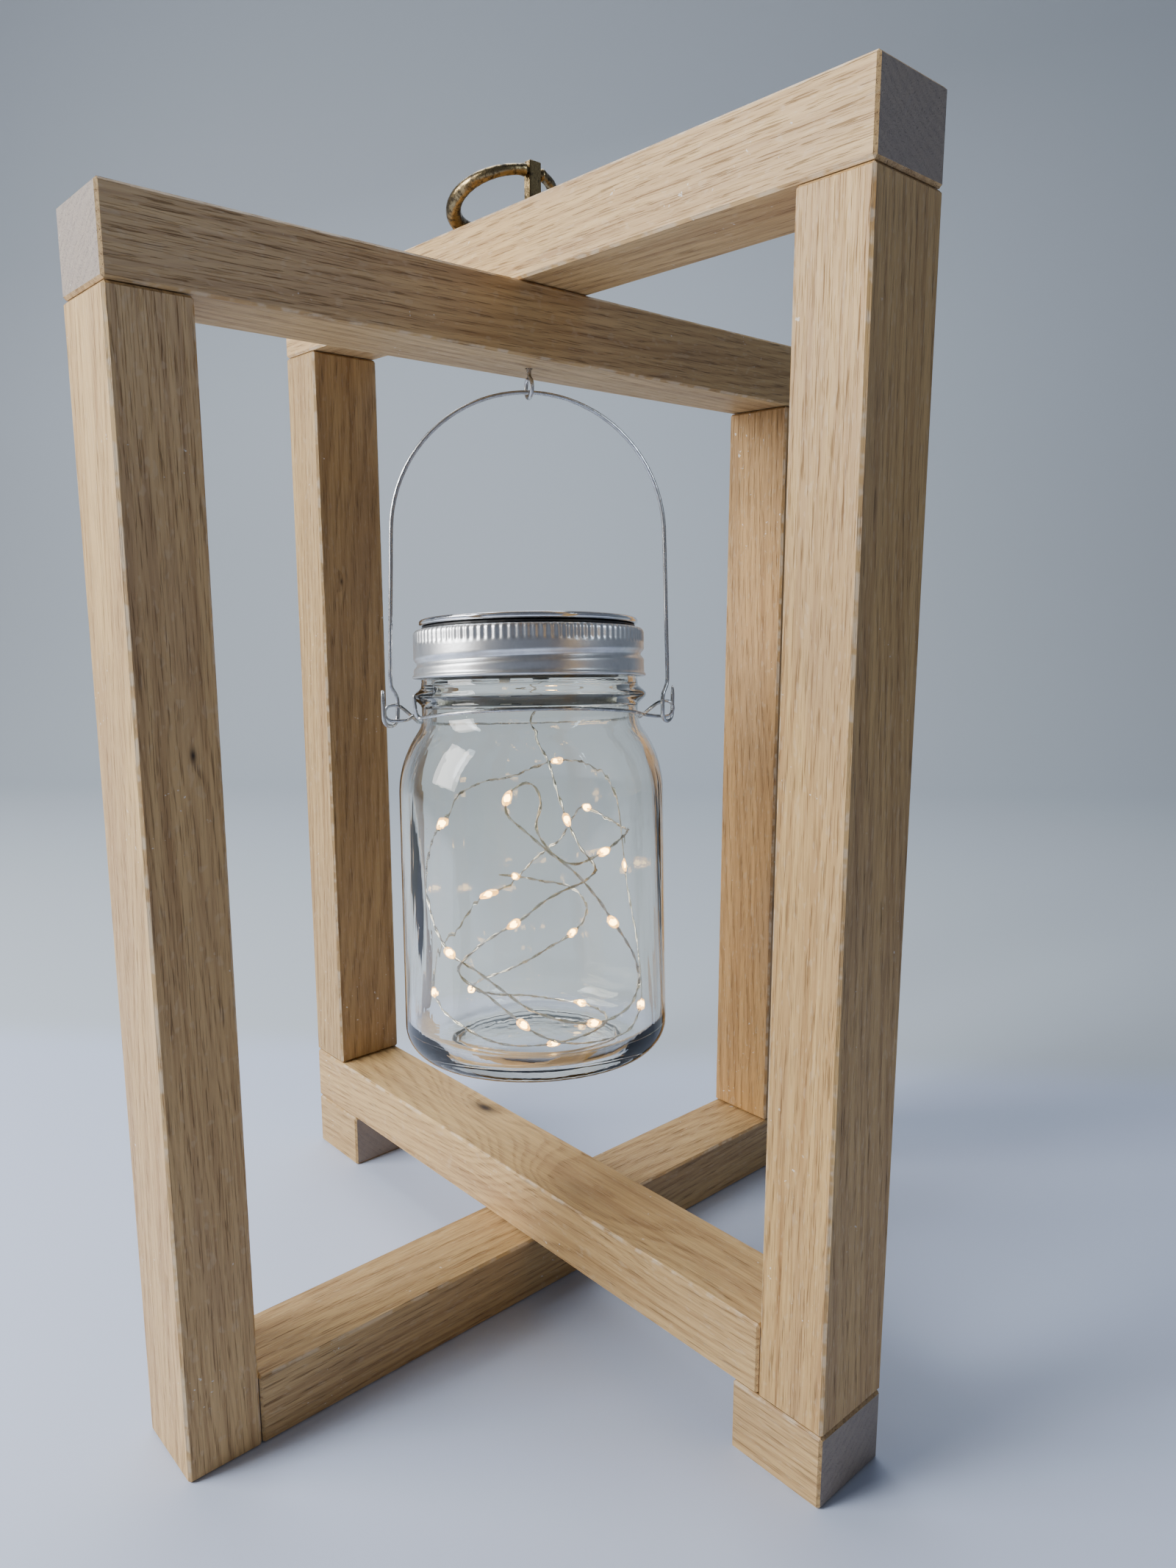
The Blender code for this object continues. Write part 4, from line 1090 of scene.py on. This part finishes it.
@dataclass
class JarBand:
    """The pressed band: a flat top, a fluted shoulder, thread grooves and a rolled lip."""

    top: float = 133.85
    bottom: float = 119.0
    wall: float = 0.5
    radius: float = 36.1
    corner: float = 1.5
    opening: float = 29.6
    flutes: int = 100
    flute_depth: float = 0.35
    flute_band: float = 4.7
    thread: Thread = Thread(start=120.45, turns=1.3, depth=1.1)
    segments: int = 600

    def outline(self) -> list[Flat]:
        """The shell's profile, up the outside and back down the inside."""
        corner = self.corner
        out = [(self.opening, self.top)]
        out += straight(out[0], (self.radius - corner, self.top), 4)
        out += arc((self.radius - corner, self.top - corner), corner, 75, 0, 6)
        out += straight((self.radius, self.top - corner), (self.radius, self.bottom + 1.4), 24)
        out += arc((self.radius - 0.1, self.bottom + 0.5), 0.6, 60, -90, 6)
        inner = self.radius - self.wall
        back = [(inner, self.bottom + 0.2)]
        back += straight(back[0], (inner, self.top - corner), 24)
        under = self.top - self.wall
        return out + back + [(inner - 0.4, self.top - 0.8), (inner - 1.2, under), (self.opening, under)]

    def relief(self, place: Vector) -> Vector:
        """Press the flutes and the thread groove into the shell."""
        reach = math.hypot(place.x, place.y)
        if reach < self.radius - 1.45:
            return place
        angle = math.atan2(place.y, place.x) % FULL_TURN
        made = reach
        skirt = min(1.0, max(0.0, (place.z - (self.top - self.flute_band)) / 0.5))
        skirt *= min(1.0, (self.top - place.z) / 0.6)
        made -= self.flute_depth * skirt * (0.5 - 0.5 * math.cos(self.flutes * angle))
        if self.bottom + 1.2 < place.z < self.top - self.flute_band + 0.2:
            made -= self.thread.depth * self.thread.rise(place.z, angle)
        return Vector((place.x * made / reach, place.y * made / reach, place.z))

    def build(self) -> None:
        """Build and dress the band."""
        shape = Shape.turned(self.outline(), self.segments, closed=True).bend(self.relief).put(JAR)
        piece = shape.object("jar_band_pressed", PressedAluminium().material(), 50)
        settle(piece, "band", "aluminium_band", "jar_band")


@dataclass
class SolarLid:
    """What sits in the band: liner, housing, polished rim, panel, grommet, switch, battery and board."""

    flange: float = 134.15
    flange_thickness: float = 0.6
    rim_radius: float = 34.3
    rim_thickness: float = 2.0
    panel_radius: float = 23.0
    panel_thickness: float = 1.6
    panel_sink: float = 0.2
    crown: float = 0.08
    gap: float = 0.3
    rim_segments: int = 256
    panel_segments: int = 160

    def rim(self) -> None:
        """Turn the rolled rim, with a fine groove round the middle of its edge."""
        low = self.flange + self.flange_thickness + self.gap
        top = low + self.rim_thickness
        hole = self.panel_radius + self.gap
        edge = self.rim_thickness / 2
        middle = (self.rim_radius - edge, low + edge)
        outline = [(hole, low)] + straight((hole, low), (middle[0], low), 3)
        outline += arc(middle, edge, -90, -12, 8)
        outline += [(self.rim_radius - 0.22, low + edge)]
        outline += arc(middle, edge, 12, 90, 8)
        outline += [(self.rim_radius - 2.0, top - 0.15), (self.rim_radius - 2.6, top - 0.5)]
        outline += straight(outline[-1], (hole + 0.4, top - 0.5), 3) + [(hole, top - 0.8)]
        bright, dull = (0.82, 0.83, 0.85), (0.52, 0.53, 0.55)
        polished = Metal("polished_rim_finish", bright, dull, 0.10, 5.0, 0.3, 0.01).material()
        shape = Shape.turned(outline, self.rim_segments, closed=True).put(JAR)
        settle(shape.object("solar_rim_rolled", polished, 50), "solar_unit", "polished_rim", "solar_rim")

    def panel(self) -> None:
        """Turn the panel under its slightly crowned resin."""
        low = self.flange + self.flange_thickness + self.gap
        top = low + self.rim_thickness - self.panel_sink
        base = top - self.panel_thickness
        outline = [(0.0, base), (self.panel_radius - 0.3, base), (self.panel_radius, base + 0.3)]
        outline += arc((self.panel_radius - 0.5, top - 0.6), 0.5, 0, 80, 5)
        flat = self.panel_radius - 0.6
        outline += [(share * flat, top - self.crown * share * share) for share in (0.9, 0.6, 0.3, 0.0)]
        shape = Shape.turned(outline, self.panel_segments).put(JAR)
        piece = shape.object("solar_panel_cast", SolarCells().material())
        settle(piece, "solar_unit", "solar_panel", "solar_panel")

    def fittings(self) -> None:
        """Dress the pieces whose shape is right as they are."""
        for node, name, colour, rubbed, rough in (
            ("solar_housing", "housing_plastic", (0.012, 0.012, 0.013), (0.030, 0.030, 0.032), 0.5),
            ("seal_ring", "seal_rubber", (0.015, 0.015, 0.015), (0.04, 0.04, 0.04), 0.75),
            ("lead_grommet", "grommet_rubber", (0.010, 0.010, 0.010), (0.03, 0.03, 0.03), 0.65),
            ("switch_knob", "knob_plastic", (0.70, 0.70, 0.67), (0.55, 0.54, 0.50), 0.45),
            ("battery", "cell_wrap", (0.03, 0.16, 0.07), (0.06, 0.24, 0.12), 0.35),
        ):
            dress(node, Moulded(name, colour, rubbed, rough).material())
        dress("circuit_board", CircuitBoard().material())

    def build(self) -> None:
        """Build and dress the lid."""
        self.rim()
        self.panel()
        self.fittings()


# ---------------------------------------------------------------- wirework and brass


@dataclass
class Wirework:
    """The bail, the neck wire, the screw eye and the brass ring, rounded from their own wires."""

    levels: int = 1
    sharp: float = 80.0

    def rounded(self, node: str, name: str, body: str, slot: str, material: bpy.types.Material) -> None:
        """Copy a bent wire, round its section and stand it in for the node.

        Args:
            node: The CAD node.
            name: The new piece's name.
            body: The body that it rides on.
            slot: Its material slot.
            material: Its finish.
        """
        piece = Shape.copied(node).object(name, material, self.sharp)
        smooth = piece.modifiers.new("round", "SUBSURF")
        smooth.levels = smooth.render_levels = self.levels
        settle(piece, body, slot, node)

    def build(self) -> None:
        """Build and dress the wirework."""
        bright, dull = (0.56, 0.57, 0.58), (0.28, 0.27, 0.26)
        steel = Metal("drawn_steel", bright, dull, 0.26, 2.5, 0.55).material()
        bright, dull = (0.30, 0.22, 0.11), (0.035, 0.026, 0.017)
        brass = Metal("aged_brass", bright, dull, 0.24, 1.6, 0.95, 0.06).material()
        self.rounded("bail_wire", "bail_wire_drawn", "bail", "steel_wire", steel)
        self.rounded("neck_wire", "neck_wire_drawn", "jar", "steel_wire", steel)
        self.rounded("screw_eye", "screw_eye_bent", "frame", "steel_wire", steel)
        self.rounded("drop_ring", "drop_ring_cast", "ring", "antique_brass", brass)
        dress("ring_post", brass)


# ---------------------------------------------------------------- oak frame


@dataclass
class OakFrame:
    """The timbers, foot blocks and dowels, each timber with its own cut of oak."""

    end: float = 116.0
    rail_levels: tuple[float, float, float, float] = (10.0, 301.0, 30.3, 321.3)

    def build(self) -> None:
        """Dress every timber and dowel."""
        low, high, upper_low, upper_high = self.rail_levels
        end = self.end
        rails = (
            Oak("oak_lower_bottom", Grain.LOWER_RAIL, (0, low), (-30, -60), 0.06, 1.7, 0.95),
            Oak("oak_lower_top", Grain.LOWER_RAIL, (0, high), (45, -70), 0.08, 5.1, 0.95),
            Oak("oak_upper_bottom", Grain.UPPER_RAIL, (0, upper_low), (30, 62), 0.10, 9.4, 1.0,
                knots=(Knot(-38, -7, 10, 5.5), Knot(26, 5, 10, 9.0, 0.25))),
            Oak("oak_upper_top", Grain.UPPER_RAIL, (0, upper_high), (-50, 75), 0.05, 13.3, 1.05),
        )
        posts = (
            Oak("oak_lower_post_front", Grain.LOWER_POST, (0, end), (36, 66), 0.07, 17.9, 1.0,
                knots=(Knot(188, 13, -3, 1.6),)),
            Oak("oak_lower_post_rear", Grain.LOWER_POST, (0, -end), (-64, -50), 0.05, 21.2, 0.9,
                pale=(0.66, 0.385, 0.145), brown=(0.34, 0.17, 0.055)),
            Oak("oak_upper_post_front", Grain.UPPER_POST, (0, end), (52, 58), 0.06, 25.8, 1.0,
                pale=(0.63, 0.395, 0.155), brown=(0.33, 0.17, 0.058)),
            Oak("oak_upper_post_rear", Grain.UPPER_POST, (0, -end), (-40, 90), 0.05, 29.6, 0.8,
                knots=(Knot(230, 5, 10, 1.2),)),
        )
        blocks = (
            Oak("oak_foot_front", Grain.UPPER_RAIL, (0, low), (40, 48), 0.04, 33.0, 0.95),
            Oak("oak_foot_rear", Grain.UPPER_RAIL, (0, low), (-44, 52), 0.04, 37.5, 0.9),
        )
        nodes = (
            "lower_frame_bottom_rail", "lower_frame_top_rail",
            "upper_frame_bottom_rail", "upper_frame_top_rail",
            "lower_frame_post_front", "lower_frame_post_rear",
            "upper_frame_post_front", "upper_frame_post_rear",
            "foot_block_front", "foot_block_rear",
        )
        for node, finish in zip(nodes, rails + posts + blocks):
            dress(node, finish.material())
        beech = Oak("dowel_beech", Grain.UPPER_RAIL, (0, 0), (70, 40), 0.02, 2.2, 1.1,
                    pale=(0.66, 0.50, 0.32), brown=(0.52, 0.37, 0.21)).material()
        for node in sorted(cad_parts):
            if "dowel" in node:
                dress(node, beech)


# ---------------------------------------------------------------- lantern


def main() -> None:
    """Build the lantern around its frame."""
    Studio().build()
    LightString().build()
    GlassJar().build()
    JarBand().build()
    SolarLid().build()
    Wirework().build()
    OakFrame().build()


if __name__ == "__main__":
    logging.basicConfig(level=logging.INFO, format="%(message)s")
    main()
